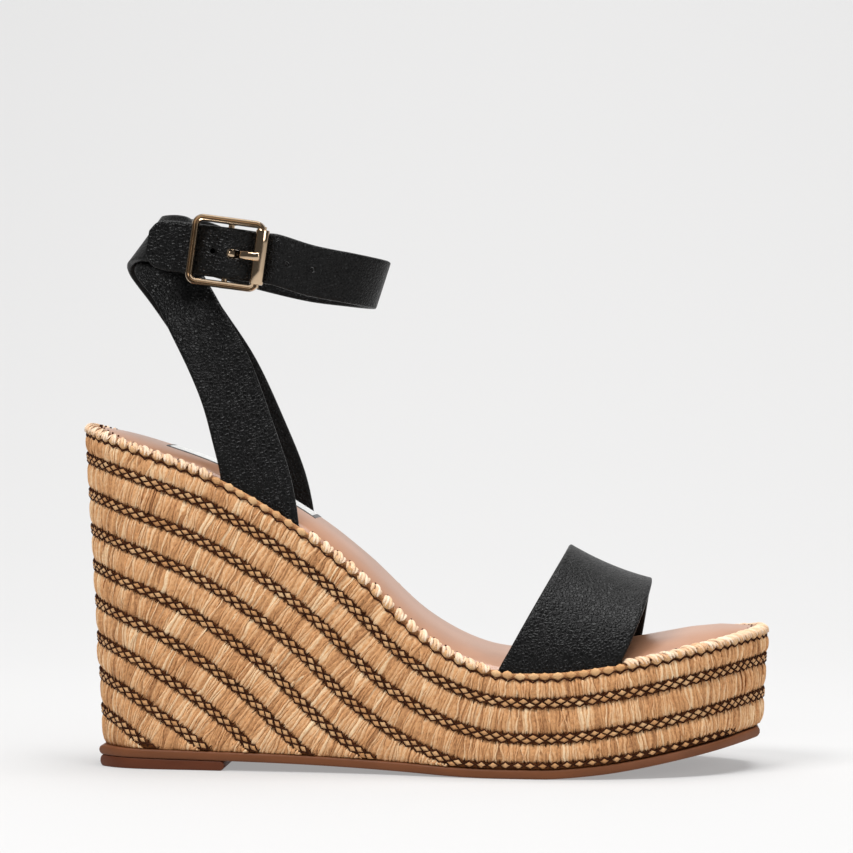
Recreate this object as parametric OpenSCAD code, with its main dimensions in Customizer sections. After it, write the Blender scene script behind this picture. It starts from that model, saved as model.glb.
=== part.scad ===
// Platform wedge sandal for the right foot: a raffia-wrapped wedge, a padded
// sock, a leather band over the toes and a criss-cross ankle strap that closes
// with a roller buckle. +X is the toe, +Z is up and -Y is the outer side.

/* [Wedge] */
// Height of the wedge's edge at the back of the heel
heel_height = 110.8; // [100:0.2:116]
// Height of the wedge's edge where it is lowest, under the ball
platform_height = 33; // [30:0.5:38]
// Height of the wedge's edge at the toe
toe_height = 45; // [42:0.5:48]
// How far the wall leans in for each millimetre of drop
wall_lean = 0.058; // [0.04:0.002:0.07]
// Shift along the sandal that centres it on its own box
centre_x = 0.5; // [-5:0.1:5]
// Sideways shift that centres it on its own box
centre_y = 2.77; // [-5:0.01:5]

/* [Raffia wrap] */
// Thickness of the raffia braid
raffia_thick = 1.5; // [1.2:0.1:2]
// Distance from the edge to the first seam
first_seam = 8.8; // [7:0.2:10]
// Distance between seams
seam_pitch = 11.3; // [10:0.1:13]
// Number of sewn seams
seam_count = 8; // [4:1:8]
// Width of a seam's zigzag
seam_width = 3.2; // [2.4:0.1:4]

/* [Sole] */
// Thickness of the outsole
sole_thick = 3; // [2:0.2:4]
// Where the heel lift ends
lift_front = -64.5; // [-75:0.5:-50]

/* [Sock] */
// How far the padded sock rises between its edges
sock_crown = 3.4; // [1:0.2:5]
// Gap from the wedge's outline to the sock
sock_inset = 4.6; // [4:0.1:6]

/* [Straps] */
// Width of the ankle strap
strap_width = 16.5; // [14:0.5:17]
// Thickness of the face leather
leather_thick = 1.1; // [0.8:0.1:1.4]
// Thickness of the lining
lining_thick = 0.8; // [0.5:0.1:1]
// Radius of a punched hole
hole_r = 0.9; // [0.6:0.1:1.3]

/* [Buckle] */
// Length of the buckle along the strap
buckle_length = 24.5; // [23:0.5:27]
// Height of the buckle across the strap
buckle_height = 23; // [22.5:0.5:26]
// Width of the frame's bars
frame_bar = 2.3; // [2:0.1:2.6]
// Radius of the roller
roller_r = 2.2; // [1.8:0.1:2.3]
// Distance from the frame's middle plane in to the centre bar
bar_depth = 3.5; // [3.4:0.1:3.8]

/* [Hidden] */

raffia_tan = [0.78, 0.62, 0.41];
thread_brown = [0.2, 0.11, 0.06];
strap_black = [0.12, 0.12, 0.12];
lining_grey = [0.26, 0.23, 0.21];
sole_brown = [0.33, 0.19, 0.12];
sock_tan = [0.8, 0.58, 0.47];
gold = [0.85, 0.68, 0.42];

// Clear glue line between neighbouring solids
glue = 0.12;
// Depth of the strap ends below the wedge's edge
tuck = 5.4;
lining_gap = 0.07;
strap_thick = leather_thick + lining_gap + lining_thick;

// The wedge's outline at its top edge: toe tip, inner side, heel, outer side
plan = [
    [112.5, 3], [106, 20], [88, 34], [55, 39.5], [20, 35.5], [-25, 27.5], [-70, 28.5],
    [-101, 23], [-113.5, 0], [-101, -23], [-70, -29.5], [-20, -34.5], [25, -43.5],
    [60, -44], [90, -33], [107, -13]
];
plan_steps = 5;

// Height of the wedge's top edge along its length
edge_line = [
    [-113, heel_height], [-90, 103.3], [-65, 93.8], [-40, 79.2], [-20, 63.8], [0, 45.2],
    [20, 34.8], [40, platform_height], [65, 36], [90, 40.8], [113, toe_height]
];
// Height of the outsole's underside along its length
sole_line = [
    [-112, 3.9], [-64, 3.2], [-39, 2.6], [-6, 1.2], [10, 0.3], [22, 0], [40, 0],
    [57, 1.4], [70, 3.3], [83, 5.7], [96, 8.2], [112, 11.2]
];

// ---- curves ----
function span(p, x, i = 0) = (i >= len(p) - 2 || x < p[i + 1][0]) ? i : span(p, x, i + 1);
function knot_slope(p, i) =
    let (a = max(i - 1, 0), b = min(i + 1, len(p) - 1))
    (p[b][1] - p[a][1]) / (p[b][0] - p[a][0]);
// Smooth height through hand-picked points, straight beyond the ends
function curve(p, x) =
    let (n = len(p) - 1)
    x <= p[0][0] ? p[0][1] + knot_slope(p, 0) * (x - p[0][0]) :
    x >= p[n][0] ? p[n][1] + knot_slope(p, n) * (x - p[n][0]) :
    let (i = span(p, x), h = p[i + 1][0] - p[i][0], t = (x - p[i][0]) / h,
         m0 = knot_slope(p, i) * h, m1 = knot_slope(p, i + 1) * h)
    (2 * t * t * t - 3 * t * t + 1) * p[i][1] + (t * t * t - 2 * t * t + t) * m0
    + (3 * t * t - 2 * t * t * t) * p[i + 1][1] + (t * t * t - t * t) * m1;
// Point a fraction t along the smooth stretch from b to c
function blend4(a, b, c, d, t) =
    0.5 * (2 * b + (c - a) * t + (2 * a - 5 * b + 4 * c - d) * t * t
    + (3 * b - a - 3 * c + d) * t * t * t);
function unit(v) = v / norm(v);

function edge_z(x) = curve(edge_line, x);
function sole_z(x) = max(0, curve(sole_line, x));
function base_z(x) = sole_z(x) + sole_thick;
function edge_slope(x) = (edge_z(x + 0.5) - edge_z(x - 0.5));

// ---- outline ----
outline = [for (i = [0:len(plan) - 1], k = [0:plan_steps - 1])
    let (n = len(plan))
    blend4(plan[(i + n - 1) % n], plan[i], plan[(i + 1) % n], plan[(i + 2) % n],
           k / plan_steps)];
count = len(outline);
out_dir = [for (i = [0:count - 1])
    let (d = unit(outline[(i + 1) % count] - outline[(i + count - 1) % count]))
    [d.y, -d.x]];
// A point on the wall of station i, an inset in from the outline and at height z
function wall(i, inset, z) =
    let (q = outline[i] - out_dir[i] * (inset + wall_lean * (edge_z(outline[i].x) - z)))
    [q.x, q.y, z];
// Height above or below the wedge's edge at station i
function rim(i, inset, rise) = wall(i, inset, edge_z(outline[i].x) + rise);

// The two sides of the outline as height-free lookups
half_count = count / 2;
inner_side = [for (i = [half_count:-1:0]) outline[i]];
outer_side = [for (i = [half_count:count]) outline[i % count]];
function inner_y(x) = lookup(x, inner_side);
function outer_y(x) = lookup(x, outer_side);

// ---- closed solids from rings of points ----
// Rings run along the piece, and each ring is a closed cross-section. From point flip on,
// quads are split the other way, so that the facing sides of two layers have the same facets
function ring_faces(rings, points, closed, flip) = concat(
    [for (r = [0:rings - (closed ? 1 : 2)], p = [0:points - 1])
        let (a = r * points + p, b = r * points + (p + 1) % points,
             c = ((r + 1) % rings) * points + (p + 1) % points,
             d = ((r + 1) % rings) * points + p)
        each p < flip ? [[a, b, c], [a, c, d]] : [[a, b, d], [b, c, d]]],
    closed ? [] : [[for (p = [points - 1:-1:0]) p],
                   [for (p = [0:points - 1]) (rings - 1) * points + p]]);
module tube_solid(rings, closed, flip = 1000) {
    m = len(rings[0]);
    polyhedron([for (ring = rings) each ring], ring_faces(len(rings), m, closed, flip));
}

// ---- pads: flat layers cut to the outline ----
// Fractions across the pad from the outer side to the inner side
columns = [-1, -0.5, 0, 0.5, 1];
// Width at which the crown reaches its full height
full_crown_width = 48;
function across(i, inset, rise_edge, rise_crown, t) =
    let (a = rim(count - i, inset, 0), b = rim(i, inset, 0),
         q = a + (b - a) * (t + 1) / 2, fade = min(1, (b.y - a.y) / full_crown_width))
    [q.x, q.y, edge_z(q.x) + rise_edge + rise_crown * fade * (1 - t * t)];
// A layer that follows the wedge's edge line, with a crown on either face
module crowned_pad(inset, low, low_crown, high, high_crown) {
    last = half_count - 1;
    m = len(columns);
    low_pts = [for (i = [1:last], t = columns) across(i, inset, low, low_crown, t)];
    high_pts = [for (i = [1:last], t = columns) across(i, inset, high, high_crown, t)];
    n = len(low_pts);
    tips = [rim(0, inset, low), rim(0, inset, high), rim(half_count, inset, low),
            rim(half_count, inset, high)];
    t0 = 2 * n;
    sheet = [for (r = [0:last - 2], c = [0:m - 2])
        let (a = r * m + c) each [[a, a + 1, a + m + 1], [a, a + m + 1, a + m]]];
    toe_fan = [for (c = [0:m - 2]) [c + 1, c, t0]];
    heel_row = (last - 1) * m;
    heel_fan = [for (c = [0:m - 2]) [heel_row + c, heel_row + c + 1, t0 + 2]];
    sides = [for (r = [0:last - 2])
        let (a = r * m, b = a + m, e = a + m - 1, f = b + m - 1)
        each [[a, b, b + n], [a, b + n, a + n], [e, f + n, f], [e, e + n, f + n]]];
    ends = [
        [t0, 0, n], [t0, n, t0 + 1], [t0, n + m - 1, m - 1], [t0, t0 + 1, n + m - 1],
        [t0 + 2, n + heel_row, heel_row], [t0 + 2, t0 + 3, n + heel_row],
        [t0 + 2, heel_row + m - 1, n + heel_row + m - 1],
        [t0 + 2, n + heel_row + m - 1, t0 + 3]];
    upper = [for (f = concat(sheet, toe_fan, heel_fan))
        [for (v = [2:-1:0]) f[v] >= t0 ? f[v] + 1 : f[v] + n]];
    polyhedron(concat(low_pts, high_pts, tips),
               concat(sheet, toe_fan, heel_fan, upper, sides, ends));
}
// A layer between two heights that are functions of x, following the lean of the wall
module wall_pad(inset, low, high) {
    rings = [[for (i = [0:count - 1]) wall(i, inset, low(outline[i].x))],
             [for (i = [0:count - 1]) wall(i, inset, high(outline[i].x))]];
    ladder = [for (i = [0:half_count - 1])
        let (a = i, b = i + 1, c = (count - i - 1) % count, d = (count - i) % count)
        each concat(b == c ? [] : [[a, b, c]], a == d ? [] : [[a, c, d]])];
    sides = [for (i = [0:count - 1])
        let (j = (i + 1) % count) each [[i, i + count, j + count], [i, j + count, j]]];
    polyhedron(concat(rings[0], rings[1]),
        concat(ladder, [for (f = ladder) [f[2] + count, f[1] + count, f[0] + count]], sides));
}

// ---- sole ----
module outsole() {
    color(sole_brown)
        wall_pad(0, function (x) sole_z(x), function (x) base_z(x) - glue);
}
module heel_lift() {
    lift_back = -120;
    color(sole_brown * 0.8) intersection() {
        wall_pad(0.2, function (x) 0, function (x) sole_z(x) - glue);
        translate([lift_back, -50, -1]) cube([lift_front - lift_back, 100, 10]);
    }
}

// ---- wedge ----
core_drop = tuck + 0.6;
// Room between the core and the board, and from the sock's side to the layers under it
core_room = 0.45;
layer_inset = sock_inset + 0.5;
board_thick = 1.9;
shank_thick = 1.5;
shank_width = 13;
shank_span = [-72, 14];
rivet_x = [-62, 4];
rivet_r = 1.5;
nail_r = 0.9;
nail_length = 24;
nail_places = [[-100, 0], [-92, -14], [-92, 14], [-78, -15], [-78, 15]];

// A strip that follows the edge line, as a side view polygon pushed sideways
module follow_strip(x0, x1, top, thick, width) {
    xs = [for (k = [0:14]) x0 + (x1 - x0) * k / 14];
    rotate([90, 0, 0]) translate([0, 0, -width / 2]) linear_extrude(width)
        polygon(concat([for (x = xs) [x, edge_z(x) + top]],
                       [for (k = [14:-1:0]) [xs[k], edge_z(xs[k]) + top - thick]]));
}
// Places children square to the edge line at x, a rise above it
module on_slope(x, y, rise) {
    translate([x, y, edge_z(x) + rise]) rotate([0, -atan(edge_slope(x)), 0]) children();
}
module nail_set(r, extra) {
    for (p = nail_places) on_slope(p.x, p.y, -core_drop + board_thick)
        translate([0, 0, -nail_length - extra])
            cylinder(r = r, h = nail_length + 2 * extra, $fn = 24);
}
module rivet_set(r, extra) {
    length = board_thick + shank_thick + 0.6;
    for (x = rivet_x) on_slope(x, 0, -core_drop + board_thick)
        translate([0, 0, -length - extra]) cylinder(r = r, h = length + 2 * extra, $fn = 24);
}
module wedge_core() {
    color([0.72, 0.53, 0.36]) difference() {
        wall_pad(raffia_thick + glue, function (x) base_z(x),
                 function (x) edge_z(x) - core_drop - core_room);
        follow_strip(shank_span[0] - 1, shank_span[1] + 1, -core_drop + 1, shank_thick + 2.6,
                     shank_width + 1);
        nail_set(nail_r + 0.1, 0.5);
    }
}
module shank() {
    color([0.6, 0.6, 0.62]) difference() {
        follow_strip(shank_span[0], shank_span[1], -core_drop - 0.2, shank_thick, shank_width);
        rivet_set(rivet_r + 0.1, 1);
    }
}
module insole_board() {
    color([0.55, 0.4, 0.28]) difference() {
        crowned_pad(layer_inset, -core_drop + glue, 0, -core_drop + board_thick, 0);
        rivet_set(rivet_r + 0.1, 1);
        nail_set(nail_r + 0.1, 1);
    }
}
module shank_rivets() {
    color(gold) rivet_set(rivet_r, 0);
}
module heel_nails() {
    color([0.5, 0.5, 0.52]) nail_set(nail_r, 0);
}
foam_edge = -0.4;
sock_edge = 0.6;
module foam_pad() {
    color([0.93, 0.9, 0.8])
        crowned_pad(layer_inset, -core_drop + board_thick + 2 * glue, 0, foam_edge, sock_crown);
}
module sock_liner() {
    color(sock_tan)
        crowned_pad(sock_inset, foam_edge + glue, sock_crown, sock_edge, sock_crown);
}
// Height of the sock at a place
function sock_z(x, y) =
    let (mid = (inner_y(x) + outer_y(x)) / 2,
         half = (inner_y(x) - outer_y(x)) / 2 - sock_inset, t = (y - mid) / half)
    edge_z(x) + sock_edge + sock_crown * (1 - t * t);
label_x = [-84, -37];
label_half = 10;
module heel_label() {
    rows = 12;
    cols = [-1, -0.33, 0.33, 1];
    function at(r, c, rise) =
        let (x = label_x[0] + (label_x[1] - label_x[0]) * r / rows, y = c * label_half)
        [x, y, sock_z(x, y) + rise];
    color("white") tube_solid([for (r = [0:rows]) concat(
        [for (c = cols) at(r, c, 0.5)], [for (k = [3:-1:0]) at(r, cols[k], 0.2)])], false);
}

// ---- raffia rows and seams ----
// Strap bases as [from x, to x], where the braid stays thin
outer_slots = [[-67, -38], [24, 64]];
inner_slots = [[-67, -38], [32, 71]];
slot_room = 9;
thin_braid = 1;
function in_slot(i) =
    let (x = outline[i].x, slots = i > half_count ? outer_slots : inner_slots)
    len([for (s = slots) if (x > s[0] - slot_room && x < s[1] + slot_room) s]) > 0;
edge_table = [for (x = [-125:5:125])
    let (s = edge_slope(x), n = unit([s, -1])) [x, edge_z(x), n.x, n.y]];
seams = [for (k = [1:seam_count])
    let (d = first_seam + (k - 1) * seam_pitch)
    [for (e = edge_table) [e[0] + e[2] * d, e[1] + e[3] * d]]];
// The seam that hugs the outsole from the ball to the toe
hug_seam = 3;
hug_rise = 1.1;
function seam_z(k, x) =
    let (z = lookup(x, seams[k - 1])) k == hug_seam ? max(z, base_z(x) + hug_rise) : z;
function upper_z(k, x) = k == 1 ? edge_z(x) - 1.8 : seam_z(k - 1, x) - seam_width / 2;
function lower_z(k, x) =
    let (floor_z = base_z(x)) k > seam_count ? floor_z : max(floor_z, seam_z(k, x) + seam_width / 2);
least_row = 0.6;
// One sewn braid: pillowed outside, flat where it is glued to the core, thin at the straps
module raffia_row(k) {
    held = [for (i = [0:count - 1])
        if (upper_z(k, outline[i].x) - lower_z(k, outline[i].x) > least_row) i];
    color(raffia_tan) tube_solid([for (i = held)
        let (x = outline[i].x, hi = upper_z(k, x) - glue / 2, lo = lower_z(k, x) + glue / 2,
             back = k == 1 && in_slot(i) ? thin_braid : raffia_thick)
        [wall(i, back, hi), wall(i, 0.6, hi), wall(i, 0, (hi + lo) / 2),
         wall(i, 0.6, lo), wall(i, raffia_thick, lo)]], len(held) == count);
}
// One zigzag seam between two braids
module stitch_row(k) {
    held = [for (i = [0:count - 1])
        if (seam_z(k, outline[i].x) + seam_width / 2 - base_z(outline[i].x) > least_row) i];
    color(thread_brown) tube_solid([for (i = held)
        let (x = outline[i].x, z = seam_z(k, x), hi = z + seam_width / 2 - glue / 2,
             lo = max(z - seam_width / 2 + glue / 2, base_z(x) + glue / 2))
        [wall(i, raffia_thick, hi), wall(i, 0.5, hi), wall(i, 0.5, lo),
         wall(i, raffia_thick, lo)]], len(held) == count);
}
module edge_braid() {
    wide = sock_inset - 0.3;
    color(raffia_tan * 1.1) tube_solid([for (i = [0:count - 1])
        let (w = in_slot(i) ? thin_braid : wide)
        [rim(i, w, -1.7), rim(i, w, 0.7), rim(i, 0.7, 1.3), rim(i, 0.1, 0.3),
         rim(i, 0.3, -1.7)]], true);
}

// ---- straps ----
// A rung across a strap: middle, tilt from upright towards the toe, half length,
// lean across the sandal, and how far the middle bows away from straight
function rung(c, tilt, half, lean = 0, bow = [0, 0, 0]) =
    let (d = [sin(tilt) * cos(lean), sin(lean), cos(tilt) * cos(lean)])
    [c - half * d, c + bow, c + half * d];
// Smooth list of rungs through the given ones
function smooth_rungs(rungs, steps) =
    let (n = len(rungs) - 1)
    concat([for (i = [0:n - 1], k = [0:steps - 1])
        blend4(rungs[max(i - 1, 0)], rungs[i], rungs[i + 1], rungs[min(i + 2, n)], k / steps)],
        [rungs[n]]);
// A strap layer between two depths under the face that the rungs describe
module ribbon(rungs, near, far, side) {
    n = len(rungs) - 1;
    function face_dir(i, j) =
        let (t = rungs[min(i + 1, n)][j] - rungs[max(i - 1, 0)][j],
             w = rungs[i][min(j + 1, 2)] - rungs[i][max(j - 1, 0)])
        side * unit(cross(w, t));
    tube_solid([for (i = [0:n]) concat(
        [for (j = [0:2]) rungs[i][j] - face_dir(i, j) * near],
        [for (j = [2:-1:0]) rungs[i][j] - face_dir(i, j) * far])], false, 3);
}

// Toe band
band_outer = [43.8, -41.9, 34];
band_inner = [51.5, 36.2, 34.2];
band_top = [61.1, 0, 67.4];
band_steps = 20;
band_base_half = 19;
band_top_half = 14.7;
band_base_tilt = 89;
band_top_tilt = 112.6;
base_bow = 0.9;
top_bow = 1.2;
function band_rung(phi) =
    let (s = pow(sin(phi), 0.9), base = phi < 90 ? band_outer : band_inner,
         c = [base.x + (band_top.x - base.x) * s, base.y * abs(cos(phi)),
              base.z + (band_top.z - base.z) * s],
         half = band_base_half + (band_top_half - band_base_half) * s,
         tilt = band_base_tilt + (band_top_tilt - band_base_tilt) * s)
    rung(c, tilt, half, 0, [0, sign(base.y) * base_bow * (1 - s), -top_bow * s]);
// The band's end below the wedge's edge, sloped with the edge
function band_end(base, depth, tilt) =
    let (s = sign(base.y))
    rung(base + [-0.4, -0.2 * s, -depth], tilt, band_base_half, 0, [0, s * base_bow, 0]);
band_rungs = concat([band_end(band_outer, 4.9, 87.4)],
    [for (k = [0:band_steps]) band_rung(180 * k / band_steps)], [band_end(band_inner, 4.5, 84.3)]);
module vamp_strap_outer() {
    color(strap_black) ribbon(band_rungs, 0, leather_thick, 1);
}
module vamp_strap_lining() {
    color(lining_grey) ribbon(band_rungs, leather_thick + lining_gap, strap_thick, 1);
}

// Buckle place: its plane, its dip towards the toe and its turn outwards
buckle_place = [-63, -30, 167.7];
buckle_dip = 8;
buckle_turn = 4;
bar_reach = (buckle_length - frame_bar) / 2;
module at_buckle() {
    translate(buckle_place) rotate([0, 0, -buckle_turn]) rotate([0, buckle_dip, 0]) children();
}
// A point u along the strap and rise outwards from the buckle's middle plane
function buckle_point(u, rise) =
    let (a = u * cos(buckle_dip))
    buckle_place + [a * cos(buckle_turn) - rise * sin(buckle_turn),
                    -a * sin(buckle_turn) - rise * cos(buckle_turn), -u * sin(buckle_dip)];
// The long strap dives under the roller, rides over the centre bar and under the end bar
front_rise = -roller_r - 0.55;
end_rise = -frame_bar / 2 - 0.95;
over_rise = 0.75;
function weave(u) =
    let (low = u > 0 ? front_rise : end_rise)
    (over_rise + low) / 2 + (over_rise - low) / 2 * cos(180 * u / bar_reach);
half_strap = strap_width / 2;
function buckle_rung(u, rise, half = half_strap, tilt = buckle_dip) =
    rung(buckle_point(u, rise), tilt, half);

// Ankle fold: both straps turn round one leaning axis behind the ankle
fold_axis_point = [-83.3, 0, 167.4];
fold_tilt = 36;
function fold_rung(r, angle, along, tilt, half, side) =
    let (f = [sin(fold_tilt), 0, cos(fold_tilt)], e = [cos(fold_tilt), 0, -sin(fold_tilt)])
    rung(fold_axis_point + f * along - e * r * sin(angle) + [0, side * r * cos(angle), 0],
         tilt, half);
long_fold_r = 9.3;
short_fold_r = 12.4;

long_rungs = concat(
    [rung([-54, -27.9, 82.6], 121.5, 15, -2.5)],
    [rung([-52.4, -28.9, 87.4], 121.5, 15.1, -3),
     rung([-55.1, -28.2, 101.3], 113, 13.9, -3),
     rung([-60, -26.3, 116.6], 101, 11.6, -3),
     rung([-66.3, -23.6, 132.1], 79, 10.3, -4),
     rung([-74.2, -19.3, 146.2], 69, 9.8, -8),
     rung([-81.6, -13.2, 158.3], 58, 9.4, -10),
     fold_rung(long_fold_r, 35, -3, 47, 9.2, -1),
     fold_rung(long_fold_r, 90, 0, 37, 9.2, -1),
     fold_rung(long_fold_r, 135, 3.2, 33, 9.1, -1),
     rung([-78.5, 11.2, 172.8], 24, 8.8),
     rung([-68, 17.8, 169.4], 14, 8.4),
     rung([-54, 22.8, 165.4], 11, half_strap),
     rung([-39, 23.3, 162], 11, half_strap),
     rung([-24, 16.5, 159.8], 14, half_strap),
     rung([-16.6, 8, 158.6], 17, half_strap),
     rung([-14.3, 0, 158.3], 18, half_strap),
     rung([-16.6, -8.5, 158.7], 17, half_strap),
     rung([-24, -17.5, 160], 14, half_strap),
     rung([-36, -24, 162.2], 11, half_strap)],
    [buckle_rung(16.5, front_rise + 0.1, half_strap, 9)],
    [for (k = [2:-1:-2]) buckle_rung(bar_reach * k / 2, weave(bar_reach * k / 2))],
    [buckle_rung(-15.5, end_rise - 0.5), buckle_rung(-20.5, end_rise - 0.9, 8.1),
     buckle_rung(-24, end_rise - 1.2, 7.1), buckle_rung(-26, end_rise - 1.4, 4.4)]);
long_smooth = smooth_rungs(long_rungs, 2);
hole_pitch = 9.2;
slot_from = 0.7;
slot_to = 6.1;
slot_width = 3.6;
// The punched holes, with the one in use drawn out into a slot by the tongue
module strap_holes(ease) {
    r = hole_r + ease;
    end_r = slot_width / 2 + ease;
    at_buckle() {
        translate([-4.5, 0, 0]) rotate([90, 0, 0]) cylinder(r = r, h = 8, center = true, $fn = 24);
        for (u = [slot_from + slot_width / 2, slot_to - slot_width / 2])
            translate([u, 0, 0]) rotate([90, 0, 0])
                cylinder(r = end_r, h = 12, center = true, $fn = 24);
        translate([slot_from + slot_width / 2, -6, -end_r])
            cube([slot_to - slot_from - slot_width, 12, 2 * end_r]);
    }
    for (k = [1:2])
        translate([-52.3 + k * hole_pitch * 0.93, -26, 165.6 - k * hole_pitch * 0.17])
            rotate([90, 0, k * 8]) cylinder(r = r, h = 10, center = true, $fn = 24);
}
module long_strap_outer() {
    color(strap_black) difference() {
        ribbon(long_smooth, 0, leather_thick, 1);
        strap_holes(0);
    }
}
module long_strap_lining() {
    color(lining_grey) difference() {
        ribbon(long_smooth, leather_thick + lining_gap, strap_thick, 1);
        strap_holes(0.45);
    }
}

// The short strap lies under the long one and ends in a loop round the centre bar
function under(u) = weave(u) - strap_thick - 0.3;
loop_wall = 0.8;
bar_r = 1;
loop_gap = 0.2;
loop_r = bar_r + loop_gap + loop_wall;
short_rungs = [
    rung([-54, 26.15, 82.6], 121.5, 15, 1),
    rung([-52.4, 26.2, 87.4], 121.5, 15.1, 1),
    rung([-55.5, 26, 101.3], 113, 13.9, 1.5),
    rung([-61.3, 24.6, 116.6], 101, 11.6, 2),
    rung([-69, 22.2, 132.3], 79, 10.2, 3),
    rung([-77.8, 18.6, 146], 68, 9.8, 6),
    rung([-86, 14.6, 158], 57, 9.4, 8),
    fold_rung(short_fold_r + 0.6, 50, -4.6, 47, 9.2, 1),
    fold_rung(short_fold_r, 90, -1, 37, 9.2, 1),
    fold_rung(short_fold_r, 135, 2, 33, 9, 1),
    rung([-81.5, -16.6, 172.6], 22, 8.7),
    buckle_rung(-13.5, under(-bar_reach) - 0.5, 8.3, 10),
    buckle_rung(-bar_reach, under(-bar_reach), half_strap),
    buckle_rung(-8, under(-8), half_strap),
    buckle_rung(-5, under(-5), half_strap),
    buckle_rung(-0.6, under(-0.6), half_strap)];
short_smooth = smooth_rungs(short_rungs, 2);
tongue_width = 3;
tongue_gap = 0.45;
module loop_cut() {
    at_buckle() translate([-2.7, -3, -tongue_width / 2 - tongue_gap])
        cube([8, 12, tongue_width + 2 * tongue_gap]);
}
// The turned-back end, drawn along the strap and into the ankle
loop_run = [-1.5, -4, -7, -10, -13];
function return_depth(u) =
    0.6 + strap_thick - under(max(u, -bar_reach)) + 0.25 * max(0, -bar_reach - u);
module turned_end() {
    at_buckle() linear_extrude(strap_width - 0.4, center = true) {
        translate([0, bar_depth]) difference() {
            circle(r = loop_r, $fn = 32);
            circle(r = bar_r + loop_gap, $fn = 32);
        }
        polygon(concat(
            [for (u = loop_run) [u, return_depth(u)]],
            [for (k = [len(loop_run) - 1:-1:0])
                [loop_run[k], return_depth(loop_run[k]) + loop_wall]]));
    }
}
module short_strap_outer() {
    color(strap_black) difference() {
        union() {
            difference() {
                ribbon(short_smooth, 0, leather_thick, -1);
                at_buckle() translate([0, bar_depth, -half_strap - 1])
                    cylinder(r = bar_r + loop_gap + 0.1, h = strap_width + 2, $fn = 32);
            }
            turned_end();
        }
        loop_cut();
    }
}
module short_strap_lining() {
    color(lining_grey) difference() {
        ribbon(short_smooth, leather_thick + lining_gap, strap_thick, -1);
        at_buckle() translate([0, bar_depth, -half_strap - 1])
            cylinder(r = loop_r + 0.1, h = strap_width + 2, $fn = 32);
        loop_cut();
    }
}

// ---- buckle ----
frame_depth = 2.8;
frame_corner = 3.4;
module rounded_plate(length, height, r) {
    square([length - 2 * r, height], center = true);
    square([length, height - 2 * r], center = true);
    for (x = [-1, 1], y = [-1, 1])
        translate([x * (length / 2 - r), y * (height / 2 - r)]) circle(r = r, $fn = 32);
}
roller_half = buckle_height / 2 - frame_bar - 0.9;
roller_bar_r = 1.1;
module buckle_frame() {
    lug = 3;
    color(gold) at_buckle() {
        difference() {
            rotate([90, 0, 0]) linear_extrude(frame_depth, center = true) difference() {
                rounded_plate(buckle_length, buckle_height, frame_corner);
                rounded_plate(buckle_length - 2 * frame_bar, buckle_height - 2 * frame_bar, 1);
            }
            translate([bar_reach - 2, -5, -roller_half - 0.3]) cube([6, 10, 2 * roller_half + 0.6]);
        }
        translate([bar_reach, 0, -roller_half - 0.8])
            cylinder(r = roller_bar_r, h = 2 * roller_half + 1.6, $fn = 32);
        translate([0, bar_depth, -buckle_height / 2 + frame_bar - 0.6])
            cylinder(r = bar_r, h = buckle_height - 2 * frame_bar + 1.2, $fn = 32);
        for (s = [-1, 1])
            translate([-lug / 2, 0, s * (buckle_height / 2 - frame_bar / 2) - frame_bar / 2])
                cube([lug, bar_depth + bar_r + 0.2, frame_bar]);
    }
}
module buckle_roller() {
    color(gold * 1.05) at_buckle() translate([bar_reach, 0, -roller_half]) difference() {
        cylinder(r = roller_r, h = 2 * roller_half, $fn = 32);
        translate([0, 0, -1]) cylinder(r = roller_bar_r + 0.06, h = 2 * roller_half + 2, $fn = 32);
    }
}
tongue_thick = 1.2;
tongue_reach = bar_reach - 0.6;
tongue_rise = atan((roller_r + 0.25 + tongue_thick / 2 + bar_depth) / tongue_reach);
module buckle_tongue() {
    length = tongue_reach / cos(tongue_rise);
    ring_r = bar_r + 0.95;
    color(gold) at_buckle() translate([0, bar_depth, -tongue_width / 2]) difference() {
        rotate([0, 0, -tongue_rise]) linear_extrude(tongue_width) {
            circle(r = ring_r, $fn = 32);
            translate([0, -tongue_thick / 2]) square([length, tongue_thick]);
            translate([length, 0]) circle(r = tongue_thick / 2, $fn = 24);
        }
        translate([0, 0, -1]) cylinder(r = bar_r + 0.06, h = tongue_width + 2, $fn = 32);
    }
}

translate([centre_x, centre_y, 0]) {
    outsole();
    heel_lift();
    wedge_core();
    for (k = [1:seam_count + 1])
        raffia_row(k);
    for (k = [1:seam_count])
        stitch_row(k);
    edge_braid();
    insole_board();
    shank();
    shank_rivets();
    heel_nails();
    foam_pad();
    sock_liner();
    heel_label();
    vamp_strap_outer();
    vamp_strap_lining();
    long_strap_outer();
    long_strap_lining();
    short_strap_outer();
    short_strap_lining();
    buckle_frame();
    buckle_roller();
    buckle_tongue();
}
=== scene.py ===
"""A raffia-wrapped platform wedge sandal for the right foot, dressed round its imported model.

+X is the toe, +Z is up and -Y is the outer side, where the buckle is. Sizes are in millimetres
in the maker's own frame, and row_frame() turns them into metres in the model's frame.
"""
import logging
import math
from dataclasses import dataclass, field
from enum import Enum
from typing import Callable, Optional, Sequence

import bmesh
import bpy
import numpy as np
from mathutils import Matrix, Vector


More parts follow.
